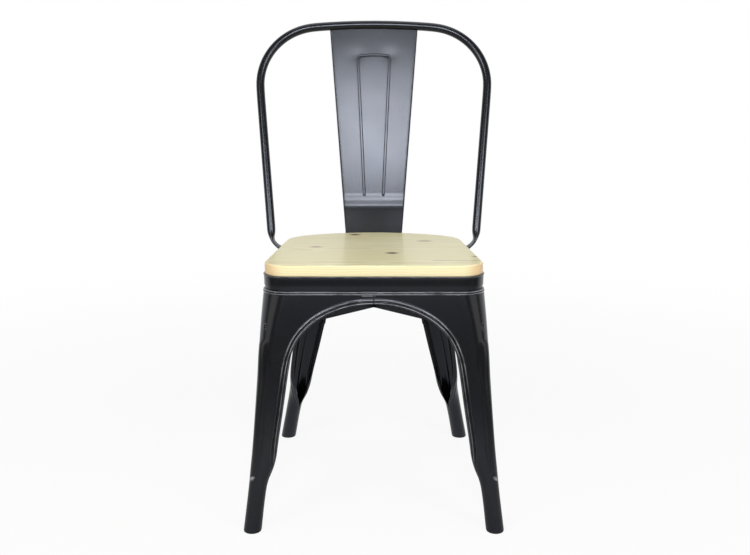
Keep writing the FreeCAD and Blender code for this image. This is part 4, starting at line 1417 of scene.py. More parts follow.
@dataclass
class SeatPan:
    """Steel pan under the board: a plate with a rolled rim and a skirt below it."""

    finish: Finish
    plan: SeatPlan
    top: float = 433.0
    plate: float = 1.6
    rim: float = 1.5
    skirt_inset: float = 1.35
    sheet: float = 1.2
    skirt_bottom: float = 399.0
    bead: float = 0.9
    # Painted highlight along the rim roll, partly real rubbing of the paint.
    rim_highlight_and_rub: float = 0.45
    front_bulge: float = 2.1
    bulge_from: float = 409.6
    bulge_fades: tuple[float, float] = (-60.0, 20.0)

    def build(self) -> None:
        """Make the pan and its rim bead."""
        fit(lofted("seat_pan_shell", [self.shell_ring(offset, z) for offset, z in self.profile()]),
            self.finish, "seat_pan")
        self.rim_bead()

    def shell_ring(self, offset: float, z: float) -> Line:
        """Outline at one height, with the front of the skirt bulged over the legs' top edges.

        Args:
            offset: How far the outline is grown.
            z: Height.

        Returns:
            The closed outline.
        """
        bulge = self.front_bulge * blend(z, self.bulge_from, self.bulge_from + 2.0)
        bulge *= 1.0 - blend(offset, -self.skirt_inset + 0.9, -self.skirt_inset + 1.4)
        grown = self.plan.ring(offset + bulge, z)
        fades = [blend(-at.y, *self.bulge_fades) for at in self.plan.ring(offset, z)]
        return [a.lerp(b, fade) for a, b, fade in zip(self.plan.ring(offset, z), grown, fades)]

    def profile(self) -> list[tuple[float, float]]:
        """Offset and height of the pan's surface, from its top's middle round to its underside's.

        Returns:
            Pairs of offset and height.
        """
        under = self.top - self.plate
        skirt = -self.skirt_inset
        inner = skirt - self.sheet
        points = [(-30.0, self.top), (-6.0, self.top), (self.rim - 0.9, self.top)]
        for angle in (60.0, 30.0, 0.0, -30.0, -60.0):
            a = math.radians(angle)
            points.append((self.rim - 0.8 + 0.8 * math.cos(a), self.top - 0.8 + 0.8 * math.sin(a)))
        points += [(self.rim - 0.9, under), (skirt + 1.0, under),
                   (skirt + 0.3, under - 0.4), (skirt, under - 1.2)]
        for share in (0.12, 0.3, 0.5, 0.7, 0.88):
            hollow = 0.35 * math.sin(math.pi * share)
            points.append((skirt - hollow, mix(under - 1.2, self.skirt_bottom + 0.5, share)))
        points += [(skirt, self.skirt_bottom + 0.5), (skirt - 0.4, self.skirt_bottom),
                   (inner + 0.4, self.skirt_bottom), (inner, self.skirt_bottom + 0.5),
                   (inner, under - 1.6), (inner - 0.5, under - 0.5), (inner - 1.6, under), (-30.0, under)]
        return points

    def rim_bead(self) -> None:
        """Rolled wire edge that the rim of the pan is turned over."""
        tool = NodeTool("rim_sweep", {"Radius": "value", "Facets": "count", "Finish": "finish"})
        tool.close(tool.sweep())
        line = self.plan.ring(self.rim - self.bead + 0.1, self.top - self.bead)
        # The whole roll carries the painted highlight share.
        guide = guide_lines("rim_guide", [line], True, {PAINTED_HIGHLIGHT_AND_WEAR: [self.rim_highlight_and_rub] * len(line)})
        values = {"Radius": self.bead * MM, "Facets": 10, "Finish": self.finish.material()}
        fit(tool.run("pan_rim_roll", guide, values), self.finish)


def curve_through(stops: Sequence[Sequence[float]], per_span: int) -> list[list[float]]:
    """Smooth the stops with an even cubic spline whose ends reach the first and the last.

    Args:
        stops: Control values.
        per_span: Samples in each span.

    Returns:
        Samples along the spline.
    """
    first, last = stops[0], stops[-1]
    before = [2 * a - b for a, b in zip(first, stops[1])]
    after = [2 * a - b for a, b in zip(last, stops[-2])]
    padded = [before] + [list(s) for s in stops] + [after]
    samples = []
    for i in range(len(padded) - 3):
        for j in range(per_span):
            t = j / per_span
            weights = ((1 - t) ** 3 / 6, (3 * t ** 3 - 6 * t ** 2 + 4) / 6,
                       (-3 * t ** 3 + 3 * t ** 2 + 3 * t + 1) / 6, t ** 3 / 6)
            samples.append([sum(w * padded[i + k][d] for k, w in enumerate(weights))
                            for d in range(len(first))])
    samples.append(list(last))
    return samples


@dataclass
class BackHoop:
    """Back hoop: a round tube in a plane that leans back, its ends pressed flat on the skirt."""

    finish: Finish
    plan: SeatPlan
    radius: float = 8.0
    base_x: float = 194.8
    base_y: float = 94.5
    base_z: float = 474.0
    lean: float = 19.82
    corner_radius: float = 113.0
    corner_x: float = 105.6
    corner_up: float = 275.1
    crown: float = 4.5
    end_angle: float = 25.0
    strip: float = 3.4
    strip_width: float = 22.5
    skirt_inset: float = 1.35

    def point(self, x: float, up: float) -> Vector:
        """Point of the hoop's leaning plane."""
        lean = math.radians(self.lean)
        return Vector((x, self.base_y + up * math.sin(lean), self.base_z + up * math.cos(lean)))

    def crown_arc(self) -> tuple[float, float]:
        """Radius of the shallow arc over the hoop's top, and its centre's place up the plane.

        Returns:
            Both numbers.
        """
        rise = self.corner_radius + self.crown
        radius = (self.corner_x ** 2 + rise ** 2 - self.corner_radius ** 2) / (2.0 * self.crown)
        return radius, self.corner_up + rise - radius

    def centre_line(self) -> Line:
        """Centre line of the round tube's right half, from the crown's middle to its base.

        Returns:
            Places in order.
        """
        radius, middle = self.crown_arc()
        turn = math.atan2(self.corner_up - middle, self.corner_x)
        slant = math.asin((self.corner_radius - (self.base_x - self.corner_x)) / self.corner_up)
        path = [self.point(0.0, middle + radius)]
        for i in range(1, 6):
            angle = mix(math.pi / 2, turn, i / 5)
            path.append(self.point(radius * math.cos(angle), middle + radius * math.sin(angle)))
        for i in range(1, 12):
            angle = mix(turn, -slant, i / 11)
            path.append(self.point(self.corner_x + self.corner_radius * math.cos(angle),
                                   self.corner_up + self.corner_radius * math.sin(angle)))
        last, base = path[-1], self.point(self.base_x, 0.0)
        return path + [last.lerp(base, i / 5) for i in range(1, 6)]

    def stops(self) -> list[list[float]]:
        """Centre, thickness, width and twist down the right half, to the flattened end.

        Returns:
            Control values for the tube's line.
        """
        round_ = 2 * self.radius
        flat, wide = self.strip, self.strip_width
        angle = math.radians(self.end_angle)
        reach = self.plan.rear_radius - self.skirt_inset + flat / 2
        foot = Vector((self.plan.rear_x + reach * math.cos(angle),
                       self.plan.rear_corner_y + reach * math.sin(angle), 0.0))
        stops = [[*p, round_, round_, 0.0] for p in self.centre_line()]
        for x, y, z, thick, width, twist in (
            (194.0, 91.0, 463.0, 16.0, 16.0, 0.0),
            (193.6, 89.0, 456.5, 14.0, 17.6, 0.0),
            (192.8, 87.0, 450.5, 10.0, 20.2, 0.0),
            (191.0, 85.2, 445.0, 6.0, 22.0, 2.0),
            (187.4, 83.8, 440.0, 4.2, wide, 5.0),
            (182.4, 82.4, 435.4, flat, wide, 9.0),
            (176.4, 81.0, 431.4, flat, wide, 14.0),
            (169.8, 79.8, 427.8, flat, wide, 19.0),
            (163.4, 78.8, 424.6, flat, wide, 23.0),
            (foot.x + 2.0, foot.y + 0.6, 421.0, flat, wide, self.end_angle),
            (foot.x, foot.y, 417.2, flat, wide, self.end_angle),
            (foot.x, foot.y, 413.6, flat, wide, self.end_angle),
            (foot.x, foot.y, 410.6, flat, wide, self.end_angle),
        ):
            stops.append([x, y, z, thick, width, twist])
        return stops

    def build(self) -> None:
        """Sweep the tube along its line and press its ends flat."""
        half = curve_through(self.stops(), 6)
        whole = [[-s[0], *s[1:5], -s[5]] for s in half[:0:-1]] + half
        centres = [Vector(s[:3]) for s in whole]
        labels = ("centre", "thin", "wide", "squeeze", "spread", "boxy")
        facts: dict[str, list[Any]] = {label: [] for label in labels}
        for i, stop in enumerate(whole):
            heading = (centres[min(i + 1, len(whole) - 1)] - centres[max(i - 1, 0)]).normalized()
            twist = math.radians(stop[5])
            wide = Vector((-math.sin(twist), math.cos(twist), 0.0))
            wide = (wide - heading * wide.dot(heading)).normalized()
            thin = wide.cross(heading).normalized()
            squeeze, spread = stop[3] / (2 * self.radius), stop[4] / (2 * self.radius)
            boxy = mix(0.5, 1.0, min(1.0, stop[3] / stop[4]))
            for label, fact in zip(labels, (centres[i] * MM, thin, wide, squeeze, spread, boxy)):
                facts[label].append(fact)
        guide = guide_lines("hoop_guide", [centres], False, facts)
        values = {"Radius": self.radius * MM, "Facets": 28, "Finish": self.finish.material()}
        fit(self.tool().run("bent_tube_hoop", guide, values, 55.0), self.finish, "back_hoop")

    def tool(self) -> NodeTool:
        """Tree that sweeps a round tube, then squeezes and spreads each ring about its centre.

        Returns:
            The tree, ready to run.
        """
        tool = NodeTool("pressed_tube", {"Radius": "value", "Facets": "count", "Finish": "finish"})
        graph = tool.graph
        tube = tool.sweep(True)
        arm = graph.vector("SUBTRACT", graph.node("GeometryNodeInputPosition"), tool.named("centre"))
        moved = tool.named("centre")
        for axis, scale, boxy in (("thin", "squeeze", True), ("wide", "spread", False)):
            along = graph.vector("DOT_PRODUCT", arm, tool.named(axis), out="Value")
            share = graph.math("ABSOLUTE", along) / tool.input("Radius")
            if boxy:
                share = share ** tool.named("boxy", "FLOAT")
            length = share * tool.input("Radius") * graph.math("SIGN", along) * tool.named(scale, "FLOAT")
            moved = graph.vector("ADD", moved, graph.scale(tool.named(axis), length))
        tool.close(graph.node("GeometryNodeSetPosition", None, {"Geometry": tube, "Position": moved}))
        return tool


@dataclass
class BackSplat:
    """Back splat: a pressed sheet with a looped groove, between the pan's rear and the hoop."""

    finish: Finish
    plan: SeatPlan
    hoop: BackHoop
    thickness: float = 1.5
    bottom: float = 412.0
    fold_from: float = 433.0
    bend: float = 499.5
    bend_y: float = 149.6
    bend_round: float = 6.0
    step: float = 1.0
    step_from: float = 512.0
    step_to: float = 526.0
    top: float = 836.0
    top_y: float = 225.6
    half_bottom: float = 51.5
    half_top: float = 84.5
    groove_top: float = 786.0
    groove_bottom: float = 524.0
    groove_half_top: float = 31.0
    groove_half_bottom: float = 18.5
    groove_width: float = 5.6
    groove_depth: float = 1.3
    groove_flank: float = 1.5
    groove_corner: float = 8.0
    dimple: float = 0.25
    dimple_size: tuple[float, float] = (15.0, 12.0)
    roll_depth: float = 1.4
    roll_width: float = 2.6
    edge_columns: tuple[float, ...] = (2.2, 1.5, 0.9, 0.4, 0.0)
    row_spans: tuple[tuple[float, float, int], ...] = (
        (412.0, 486.0, 14), (486.0, 530.0, 40), (530.0, 772.0, 40), (772.0, 794.0, 44), (794.0, 836.0, 12),
    )
    rim: float = 1.5

    def front_y(self, x: float, z: float) -> float:
        """Front face: it rises from the bowed rim, folds, steps and leans back to the hoop.

        Args:
            x: Place across.
            z: Height.

        Returns:
            Place of the face along Y.
        """
        _, bow, _ = self.plan.bow()
        rim = self.plan.rear_y + self.rim
        low = self.fold_from
        lower = rim + (self.bend_y - rim) * max(0.0, z - low) / (self.bend - low)
        slope = (self.top_y - self.step - self.bend_y) / (self.top - self.bend)
        upper = self.bend_y + slope * (z - self.bend) + self.step * blend(z, self.step_from, self.step_to)
        middle = mix(lower, upper, blend(z, self.bend - self.bend_round, self.bend + self.bend_round))
        curved = 1.0 - blend(z, low, self.bend)
        return middle - curved * x * x / (2.0 * (bow + self.rim))

    def half_width(self, z: float) -> float:
        """Half width of the splat at height z."""
        return mix(self.half_bottom, self.half_top, (z - self.bottom) / (self.top - self.bottom))

    def groove_half(self, z: float) -> float:
        """Half distance between the groove's legs at height z."""
        share = (z - self.groove_bottom) / (self.groove_top - self.groove_bottom)
        return mix(self.groove_half_bottom, self.groove_half_top, share)

    def groove(self, x: float, z: float) -> float:
        """Depth of the looped groove: two legs under a bar with rounded corners.

        Args:
            x: Place across.
            z: Height.

        Returns:
            The depth.
        """
        across = abs(x)
        half = self.groove_half(min(z, self.groove_top))
        corner_x = self.groove_half_top - self.groove_corner
        corner_z = self.groove_top - self.groove_corner
        if across > corner_x and z > corner_z:
            off = abs(math.hypot(across - corner_x, z - corner_z) - self.groove_corner)
        elif z > corner_z:
            off = abs(z - self.groove_top - 0.8 * (1.0 - (across / corner_x) ** 2))
        else:
            off = abs(across - half)
            below = self.groove_bottom - z
            if below > 0:
                off = math.hypot(off, below)
            off = min(off, abs(z - self.groove_top)) if across < corner_x else off
        return self.groove_depth * blend(self.groove_width / 2 - off, 0.0, self.groove_flank)

    def press(self, x: float, z: float) -> float:
        """Everything pressed into the splat, backwards positive.

        Args:
            x: Place across.
            z: Height.

        Returns:
            The depth.
        """
        edge = self.half_width(z) - abs(x)
        rolled = self.roll_depth * (1.0 - min(1.0, edge / self.roll_width)) ** 2
        wide, tall = self.dimple_size
        out = math.hypot((abs(x) - self.groove_half_top) / wide, (z - self.groove_top) / tall)
        return self.groove(x, z) + rolled + self.dimple * math.exp(-out * out)

    def columns(self, z: float) -> list[float]:
        """Column places across the splat at height z, close together at the groove and the edges.

        Args:
            z: Height.

        Returns:
            Places from left to right.
        """
        half = self.groove_half(min(max(z, self.groove_bottom), self.groove_top))
        edge = self.half_width(z)
        near = [half + self.groove_width * step / 16 for step in range(-12, 13)]
        inner = [near[0] * k / 7 for k in range(7)]
        outer = [mix(near[-1], edge - 3.0, k / 9) for k in range(1, 10)]
        right = inner + near + outer + [edge - d for d in self.edge_columns]
        return [-x for x in right[:0:-1]] + right

    def heights(self) -> list[float]:
        """Row heights, close together at the bend, the groove's ends and its bar."""
        return [mix(low, high, i / count) for low, high, count in self.row_spans
                for i in range(count)] + [self.top]

    def crown(self, x: float) -> float:
        """Height of the hoop's underside over the splat at x."""
        radius, middle = self.hoop.crown_arc()
        return self.hoop.point(x, middle + math.sqrt(radius ** 2 - x ** 2)).z - self.hoop.radius * 0.55

    def build(self) -> None:
        """Make the splat as a closed sheet with rounded edges."""
        points = []
        heights = self.heights()
        count = 0
        for z in heights:
            front = []
            for x in self.columns(z):
                trim = min(z, self.crown(x))
                at = mix(z, trim, blend(z, self.top - 30.0, self.top))
                front.append(Vector((x, self.front_y(x, at) + self.press(x, z), at)))
            back = [p + Vector((0.0, self.thickness, 0.0)) for p in front]
            middle = Vector((self.thickness * EDGE_BULGE, self.thickness / 2, 0.0))
            ends = [front[-1] + middle, front[0] + Vector((-middle.x, middle.y, 0.0))]
            points += front + [ends[0]] + back[::-1] + [ends[1]]
            count = len(front)
        splat = make_mesh("pressed_back_splat", points, sheet_faces(len(heights), count), 50.0)
        fit(splat, self.finish, "back_splat")


@dataclass
class CrossBrace:
    """Two flat bars on edge from leg to leg under the seat, halved over each other."""

    finish: Finish
    bottom: float = 339.5
    height: float = 20.0
    thickness: float = 3.0
    front_end: tuple[float, float] = (174.0, -200.6)
    rear_end: tuple[float, float] = (133.6, 125.2)
    edge_round: float = 0.6

    def build(self) -> None:
        """Make both bars."""
        for letter, sign, high in (("a", 1.0, True), ("b", -1.0, False)):
            fit(self.bar(f"flat_bar_{letter}", sign, high), self.finish, f"brace_bar_{letter}")

    def bar(self, name: str, sign: float, high: bool) -> bpy.types.Object:
        """One bar with its notch.

        Args:
            name: The piece's name.
            sign: 1 for the bar that runs from the left front corner, -1 for the other.
            high: Whether the upper half is kept at the crossing.

        Returns:
            The bar's object.
        """
        start = Vector((-sign * self.front_end[0], self.front_end[1], self.bottom))
        end = Vector((sign * self.rear_end[0], self.rear_end[1], self.bottom))
        along = (end - start).normalized()
        cross = start.lerp(end, self.front_end[0] / (self.front_end[0] + self.rear_end[0]))
        reach = (cross - start).length
        notch = self.thickness * 0.62
        half = self.height / 2
        up = Vector((0.0, 0.0, 1.0))
        low, top = (half, self.height) if high else (0.0, half)
        near, far, full = reach - notch, reach + notch, (end - start).length
        tall = self.height
        outline = [(0.0, 0.0), (near, 0.0), (near, low), (far, low), (far, 0.0), (full, 0.0),
                   (full, tall), (far, tall), (far, top), (near, top), (near, tall), (0.0, tall)]
        kept = [p for i, p in enumerate(outline) if p != outline[i - 1]]
        side = Vector((-along.y, along.x, 0.0)) * (self.thickness / 2)
        flat = [start + along * a + up * b for a, b in kept]
        points = [p - side for p in flat] + [p + side for p in flat]
        count = len(flat)
        faces = [tuple(range(count)), tuple(range(2 * count - 1, count - 1, -1))]
        faces += [(i, (i + 1) % count, count + (i + 1) % count, count + i) for i in range(count)]
        obj = make_mesh(name, points, faces)
        work = bmesh.new()
        work.from_mesh(obj.data)
        bmesh.ops.bevel(work, geom=work.edges[:], offset=self.edge_round * MM, segments=2, affect="EDGES",
                        clamp_overlap=True)
        work.to_mesh(obj.data)
        work.free()
        return finish_mesh(obj, 30.0)


@dataclass
class WeldBeads:
    """Weld beads: overlapping ripples laid along short paths."""

    finish: Finish
    legs: PressedLegs
    plan: SeatPlan
    pitch: float = 1.1
    seed: int = 7
    smallest: tuple[float, float, float] = (0.86, 0.86, 0.55)
    largest: tuple[float, float, float] = (1.12, 1.12, 0.8)
    seam_heights: tuple[float, ...] = (391.0, 395.0, 399.0, 402.0)
    patch_heights: tuple[float, ...] = (401.6, 403.6, 405.6, 407.4)
    patch_places: tuple[float, ...] = (-19.0, -12.0, -5.0, 1.5)
    hoop_heights: tuple[float, ...] = (413.0, 417.0, 420.5)
    hoop_turns: tuple[float, float] = (15.4, 34.6)
    splat_heights: tuple[float, ...] = (416.0, 421.0, 426.0)
    splat_places: tuple[float, ...] = (-34.0, 0.0, 34.0)
    brace_heights: tuple[float, ...] = (344.5, 349.5, 354.5)
    brace_ends: tuple[tuple[float, float], ...] = ((176.0, -202.5), (135.4, 127.2))

    def tool(self) -> NodeTool:
        """Tree that lays flattened ripples along each path, each one a little different.

        Returns:
            The tree, ready to run.
        """
        inputs = {"Pitch": "value", "Width": "value", "Highlight and rub": "value", "Seed": "count", "Finish": "finish"}
        tool = NodeTool("weld_ripples", inputs)
        graph = tool.graph
        path = graph.node("GeometryNodeMeshToCurve", None, {0: tool.entry})
        sockets = {"Curve": path, "Length": tool.input("Pitch")}
        spots = graph.node("GeometryNodeCurveToPoints", {"mode": "LENGTH"}, sockets)
        ripple = graph.node(
            "GeometryNodeMeshUVSphere", None, {"Segments": 14, "Rings": 9, "Radius": tool.input("Width")})
        # Each ripple stores the group's share of the coat's light grey, the attribute that paints highlight
        # lines elsewhere.
        ripple = graph.node(
            "GeometryNodeStoreNamedAttribute", {"data_type": "FLOAT", "domain": "POINT"},
            {"Geometry": ripple, "Name": PAINTED_HIGHLIGHT_AND_WEAR, "Value": tool.input("Highlight and rub")})
        size = graph.node(
            "FunctionNodeRandomValue", {"data_type": "FLOAT_VECTOR"},
            {0: self.smallest, 1: self.largest, "Seed": tool.input("Seed")})
        tool.close(tool.copies(spots, ripple, Rotation=spots.sibling("Rotation"), Scale=size))
        return tool

    def lay(self, name: str, paths: Sequence[Line], width: float, *nodes: str, highlight_and_rub: float = 0.0) -> None:
        """Lay one group of beads.

        Args:
            name: The piece's name.
            paths: Lines that the beads follow.
            width: Radius of a ripple.
            nodes: The CAD node that the group stands for.
            highlight_and_rub: How far the beads are lightened towards the coat's light grey.
        """
        guide = guide_lines(name + "_guide", paths)
        values = {"Pitch": self.pitch * MM, "Width": width * MM, "Highlight and rub": highlight_and_rub, "Seed": self.seed,
                  "Finish": self.finish.material()}
        fit(self.tool().run(name, guide, values, 60.0), self.finish, *nodes)

    def seam(self, form: LegForm, turn: float, z: float) -> tuple[Vector, Vector]:
        """Point on an apron's outer face at its seam, and the way it faces.

        Args:
            form: The leg's form.
            turn: 1 on the main flange and -1 on the side flange.
            z: Height.

        Returns:
            The point and its outward direction.
        """
        legs = self.legs
        x, y, radius, side, main, bow, curl, _ = legs.section(form, z)
        angle, curve, reach = side, curl, legs.side_reach(form, z, form.seam_y)
        if turn > 0:
            angle, curve, reach = main, bow, legs.main_reach(form, z, 0.0)
        x, y = x + radius * math.cos(angle), y + radius * math.sin(angle)
        x, y, angle = legs.walk(x, y, angle, curve, turn, reach)
        outward = Vector((math.cos(angle), math.sin(angle), 0.0))
        return Vector((x, y, z)) + outward * legs.crimp(z), outward

    def build(self) -> None:
        """Lay all the beads."""
        seams = []
        for form, turn, sign_x, sign_y in (
            (self.legs.front, 1.0, 1.0, -1.0), (self.legs.rear, 1.0, 1.0, 1.0),
            (self.legs.front, -1.0, 1.0, -1.0), (self.legs.front, -1.0, -1.0, -1.0),
        ):
            line = []
            for z in self.seam_heights:
                at, out = self.seam(form, turn, z)
                at -= out * 0.5
                line.append(Vector((sign_x * at.x, sign_y * at.y, z)))
            seams.append(line)
        self.lay("apron_seam_beads", seams, 1.9, "apron_seam_welds")
        patch = []
        for z in self.patch_heights:
            at, _ = self.seam(self.legs.front, 1.0, z)
            patch.append([Vector((x, 1.1 - at.y, z)) for x in self.patch_places])
        # The ground weld is lightened towards the coat's light grey.
        self.lay("apron_ground_weld", patch, 1.7, highlight_and_rub=0.4)
        plan = self.plan
        feet = []
        for sign in (-1.0, 1.0):
            for turn in self.hoop_turns:
                angle = math.radians(turn)
                reach = plan.rear_radius - 1.2
                x, y = plan.rear_x + reach * math.cos(angle), plan.rear_corner_y + reach * math.sin(angle)
                feet.append([Vector((sign * x, y, z)) for z in self.hoop_heights])
        self.lay("hoop_foot_beads", feet, 1.8, "hoop_foot_welds")
        splat = [[Vector((x, plan.rear_y - 0.6 - x * x / 500.0, z)) for z in self.splat_heights]
                 for x in self.splat_places]
        self.lay("splat_foot_beads", splat, 2.6, "splat_foot_welds")
        ends = [[Vector((sign * x, y, z)) for z in self.brace_heights]
                for x, y in self.brace_ends for sign in (-1.0, 1.0)]
        self.lay("brace_end_beads", ends, 4.0, "brace_welds")


@dataclass
class FootCaps:
    """Moulded foot caps pushed over the ends of the legs' tubes."""

    finish: Finish
    legs: PressedLegs
    radius: float = 14.8
    height: float = 12.0
    lean_height: float = 18.0
    profile: tuple[tuple[float, float], ...] = (
        (0.0, 0.87), (0.02, 0.93), (0.08, 0.985), (0.16, 1.0), (0.66, 1.0), (0.74, 0.985),
        (0.79, 0.95), (0.83, 0.95), (0.88, 0.985), (0.94, 0.985), (0.98, 0.965), (1.0, 0.94),
    )

    def build(self) -> None:
        """Turn the caps' profile at each foot and dress the four caps."""
        places, leans, names = [], [], []
        for end, form, sign_y in (("front", self.legs.front, -1.0), ("rear", self.legs.rear, 1.0)):
            low, high = self.legs.section(form, 0.0), self.legs.section(form, self.lean_height)
            lean_x, lean_y = (high[0] - low[0]) / self.lean_height, (high[1] - low[1]) / self.lean_height
            for side, sign_x in (("left", -1.0), ("right", 1.0)):
                places.append(Vector((sign_x * low[0], sign_y * low[1], 0.0)))
                leans.append(Vector((sign_x * lean_x, sign_y * lean_y, 0.0)))
                names.append(f"{end}_{side}_foot_cap")
        guide = guide_lines("cap_guide", [places], False, {"lean": leans})
        values = {"Radius": self.radius * MM, "Height": self.height * MM, "Facets": 48,
                  "Finish": self.finish.material()}
        fit(self.tool().run("moulded_foot_caps", guide, values, 35.0), self.finish, *names)

    def tool(self) -> NodeTool:
        """Tree that turns the profile and sets a copy, sheared along the leg, on each point.

        Returns:
            The tree, ready to run.
        """
        inputs = {"Radius": "value", "Height": "value", "Facets": "count", "Finish": "finish"}
        tool = NodeTool("turned_caps", inputs)
        graph = tool.graph
        turned = graph.node("GeometryNodeMeshCylinder", {"fill_type": "TRIANGLE_FAN"}, {
            "Vertices": tool.input("Facets"), "Side Segments": 40, "Radius": 1.0, "Depth": 1.0})
        x, y, z = graph.split(graph.node("GeometryNodeInputPosition"))
        share = z + 0.5
        shape = graph.node("ShaderNodeFloatCurve", None, {"Value": share})
        curve = shape.socket.node.mapping.curves[0]
        while len(curve.points) < len(self.profile):
            curve.points.new(0.5, 0.5)
        for point, stop in zip(curve.points, self.profile):
            point.location = stop
            point.handle_type = "VECTOR"
        shape.socket.node.mapping.update()
        wide = shape * tool.input("Radius")
        moved = graph.combine(x * wide, y * wide, share * tool.input("Height"))
        cap = graph.node("GeometryNodeSetPosition", None, {"Geometry": turned, "Position": moved})
        real = graph.node("GeometryNodeRealizeInstances", None, {0: tool.copies(tool.entry, cap)})
        _, _, height = graph.split(graph.node("GeometryNodeInputPosition"))
        slide = graph.scale(tool.named("lean"), height)
        tool.close(graph.node("GeometryNodeSetPosition", None, {"Geometry": real, "Offset": slide}))
        return tool


@dataclass
class SeatScrews:
    """Pan-head screws and washers that hold the board on its pan."""

    screw_finish: Finish
    washer_finish: Finish
    under: float = 431.4
    places: tuple[tuple[float, float], ...] = (
        (-105.0, -150.0), (-105.0, 80.0), (105.0, -150.0), (105.0, 80.0),
    )
    washer_radius: float = 6.0
    washer_thickness: float = 1.2
    head_radius: float = 4.0
    head_height: float = 2.4
    shank_radius: float = 2.0
    shank_length: float = 14.8

    def build(self) -> None:
        """Make the screws and the washers."""
        head_top = self.under - self.washer_thickness
        screws = guide_lines("screw_guide", [[Vector((x, y, head_top)) for x, y in self.places]])
        values = {"Head radius": self.head_radius * MM, "Head height": self.head_height * MM,
                  "Shank radius": self.shank_radius * MM, "Shank length": self.shank_length * MM,
                  "Finish": self.screw_finish.material()}
        screw = self.screw_tool().run("pan_head_screws", screws, values, 30.0)
        fit(screw, self.screw_finish, "seat_screws")
        washers = guide_lines("washer_guide", [[Vector((x, y, self.under)) for x, y in self.places]])
        values = {"Radius": self.washer_radius * MM, "Bore": (self.shank_radius + 0.05) * MM,
                  "Thickness": self.washer_thickness * MM, "Finish": self.washer_finish.material()}
        washer = self.washer_tool().run("flat_washers", washers, values, 30.0)
        fit(washer, self.washer_finish, "screw_washers")

    @staticmethod
    def screw_tool() -> NodeTool:
        """Tree for a domed head with a cross recess, on a shank, at each point.

        Returns:
            The tree, ready to run.
        """
        inputs = {"Head radius": "value", "Head height": "value", "Shank radius": "value",
                  "Shank length": "value", "Finish": "finish"}
        tool = NodeTool("pan_heads", inputs)
        graph = tool.graph
        ball = graph.node("GeometryNodeMeshUVSphere", None, {"Segments": 32, "Rings": 20, "Radius": 1.0})
        x, y, z = graph.split(graph.node("GeometryNodeInputPosition"))
        radius, height = tool.input("Head radius"), tool.input("Head height")
        dome = graph.combine(x * radius, y * radius, graph.math("MINIMUM", z, 0.0) * height)
        head = graph.node("GeometryNodeSetPosition", None, {"Geometry": ball, "Position": dome})
        long, thin, deep = radius * 1.05, radius * 0.24, height * 1.1
        slots = [graph.node("GeometryNodeMeshCube", None, {"Size": graph.combine(*sides, deep)})
                 for sides in ((long, thin), (thin, long))]
        drop = graph.combine(z=height * -1.0)
        cross = graph.node("GeometryNodeMeshBoolean", {"operation": "UNION"}, {1: slots[0]})
        graph.tree.links.new(slots[1].socket, cross.socket.node.inputs[1])
        sunk = graph.node("GeometryNodeTransform", None, {"Geometry": cross, "Translation": drop})
        cut = graph.node("GeometryNodeMeshBoolean", {"operation": "DIFFERENCE"}, {0: head, 1: sunk})
        shank = graph.node("GeometryNodeMeshCylinder", None, {
            "Vertices": 24, "Radius": tool.input("Shank radius"), "Depth": tool.input("Shank length")})
        lift = graph.combine(z=tool.input("Shank length") * 0.5)
        raised = graph.node("GeometryNodeTransform", None, {"Geometry": shank, "Translation": lift})
        both = graph.node("GeometryNodeJoinGeometry", None, {0: cut})
        graph.tree.links.new(raised.socket, both.socket.node.inputs[0])
        tool.close(tool.copies(tool.entry, both))
        return tool

    @staticmethod
    def washer_tool() -> NodeTool:
        """Tree for a washer below each point.

        Returns:
            The tree, ready to run.
        """
        inputs = {"Radius": "value", "Bore": "value", "Thickness": "value", "Finish": "finish"}
        tool = NodeTool("washers", inputs)
        graph = tool.graph
        disc = graph.node("GeometryNodeMeshCylinder", None, {
            "Vertices": 40, "Radius": tool.input("Radius"), "Depth": tool.input("Thickness")})
        hole = graph.node("GeometryNodeMeshCylinder", None, {
            "Vertices": 24, "Radius": tool.input("Bore"), "Depth": tool.input("Thickness") * 3.0})
        ring = graph.node("GeometryNodeMeshBoolean", {"operation": "DIFFERENCE"}, {0: disc, 1: hole})
        drop = graph.combine(z=tool.input("Thickness") * -0.5)
        low = graph.node("GeometryNodeTransform", None, {"Geometry": ring, "Translation": drop})
        tool.close(tool.copies(tool.entry, low))
        return tool


@dataclass(frozen=True)
class Lamp:
    """A softbox that is aimed at the chair."""

    name: str
    place: tuple[float, float, float]
    size: tuple[float, float]
    power: float
    colour: tuple[float, float, float] = (1.0, 1.0, 1.0)


WARM = (1.0, 0.90, 0.80)


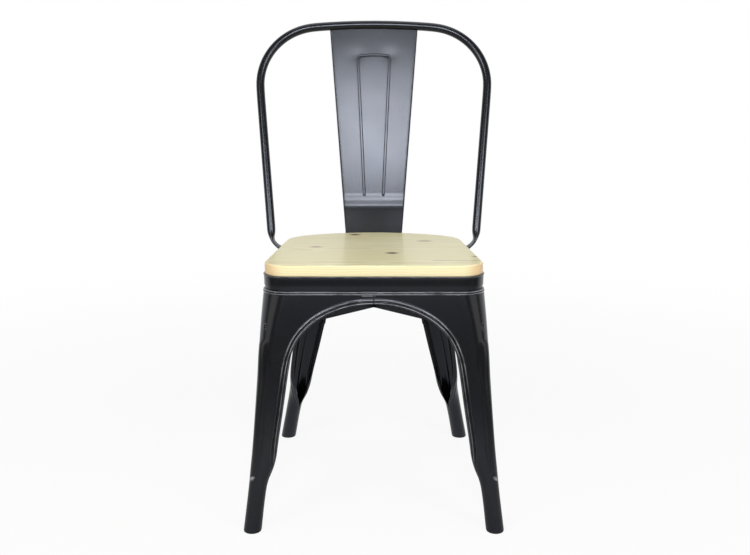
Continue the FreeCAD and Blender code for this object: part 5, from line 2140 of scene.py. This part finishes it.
@dataclass
class Studio:
    """Plain pale studio: floor, world, lamps and the photograph's camera."""

    floor: Finish
    floor_size: float = 14.0
    eye: tuple[float, float, float] = (0.0, -1.7478, 0.7439)
    pitch: float = 13.54
    lens: float = 46.99
    sensor: float = 36.0
    shift: tuple[float, float] = (0.0016, 0.0479)
    world_level: float = 0.15
    aim: tuple[float, float, float] = (0.0, 0.0, 0.45)
    lamps: tuple[Lamp, ...] = (
        Lamp("key_softbox", (0.0, -1.92, 1.50), (0.55, 0.42), 18.0),
        Lamp("left_softbox", (-1.35, -2.05, 1.75), (0.9, 0.9), 24.0),
        Lamp("right_softbox", (1.35, -2.05, 1.75), (0.9, 0.9), 24.0),
        Lamp("top_softbox", (0.0, 0.2, 2.6), (1.6, 1.6), 9.5),
        Lamp("low_fill", (0.0, -2.9, 0.72), (2.0, 0.8), 6.5),
        Lamp("left_panel", (-1.9, -1.25, 0.75), (1.4, 1.3), 6.5, WARM),
        Lamp("right_panel", (1.9, -1.25, 0.75), (1.4, 1.3), 6.5, WARM),
    )

    def build(self) -> None:
        """Set up everything round the chair."""
        half = self.floor_size / 2
        mesh = bpy.data.meshes.new("studio_floor")
        mesh.from_pydata([(-half, -half, 0.0), (half, -half, 0.0), (half, half, 0.0), (-half, half, 0.0)],
                         [], [(0, 1, 2, 3)])
        ground = add_object("studio_floor", mesh)
        mesh.materials.append(self.floor.material())
        self.world()
        for lamp in self.lamps:
            self.hang(lamp)
        self.camera()
        bpy.context.scene.view_settings.view_transform = "Standard"

    def world(self) -> None:
        """White where the background is seen, and a plain level on the chair."""
        world = bpy.data.worlds.new("studio_world")
        world.use_nodes = True
        world.node_tree.nodes.clear()
        graph = Graph(world.node_tree)
        seen = seen_rays(graph, graph.node("ShaderNodeTexCoord", out="Object"))
        level = self.world_level + seen * (1.0 - self.world_level)
        sky = graph.node("ShaderNodeBackground", None, {"Color": WHITE, "Strength": level})
        graph.node("ShaderNodeOutputWorld", None, {"Surface": sky})
        bpy.context.scene.world = world

    def hang(self, lamp: Lamp) -> None:
        """Hang one softbox and aim it at the chair.

        Args:
            lamp: The softbox.
        """
        data = bpy.data.lights.new(lamp.name, "AREA")
        data.shape = "RECTANGLE"
        data.size, data.size_y = lamp.size
        data.energy = lamp.power
        data.color = lamp.colour
        obj = add_object(lamp.name, data)
        obj.location = lamp.place
        obj.rotation_euler = (Vector(self.aim) - Vector(lamp.place)).to_track_quat("-Z", "Y").to_euler()
        obj.visible_camera = False

    def camera(self) -> None:
        """Stand the camera where the photograph was taken from."""
        data = bpy.data.cameras.new("photo_camera")
        data.lens = self.lens
        data.sensor_width = self.sensor
        data.sensor_fit = "HORIZONTAL"
        data.shift_x, data.shift_y = self.shift
        camera = add_object("photo_camera", data)
        camera.location = self.eye
        camera.rotation_euler = (math.radians(90.0 - self.pitch), 0.0, 0.0)
        bpy.context.scene.camera = camera


def main() -> None:
    """Build the studio and the chair."""
    logging.basicConfig(level=logging.INFO, format="%(name)s: %(message)s")
    paint = SatinPaint()
    plan = SeatPlan()
    legs = PressedLegs(paint)
    hoop = BackHoop(paint, plan)
    groups = (
        Studio(StudioFloor()), legs, SeatPan(paint, plan), SeatBoard(Pine(), plan), hoop,
        BackSplat(paint, plan, hoop), CrossBrace(paint), WeldBeads(paint, legs, plan),
        FootCaps(MouldedPlastic(), legs), SeatScrews(ZincPlate(), ZincPlate()),
    )
    for group in groups:
        LOG.info("building %s", type(group).__name__)
        group.build()
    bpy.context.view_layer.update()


if __name__ == "__main__":
    main()
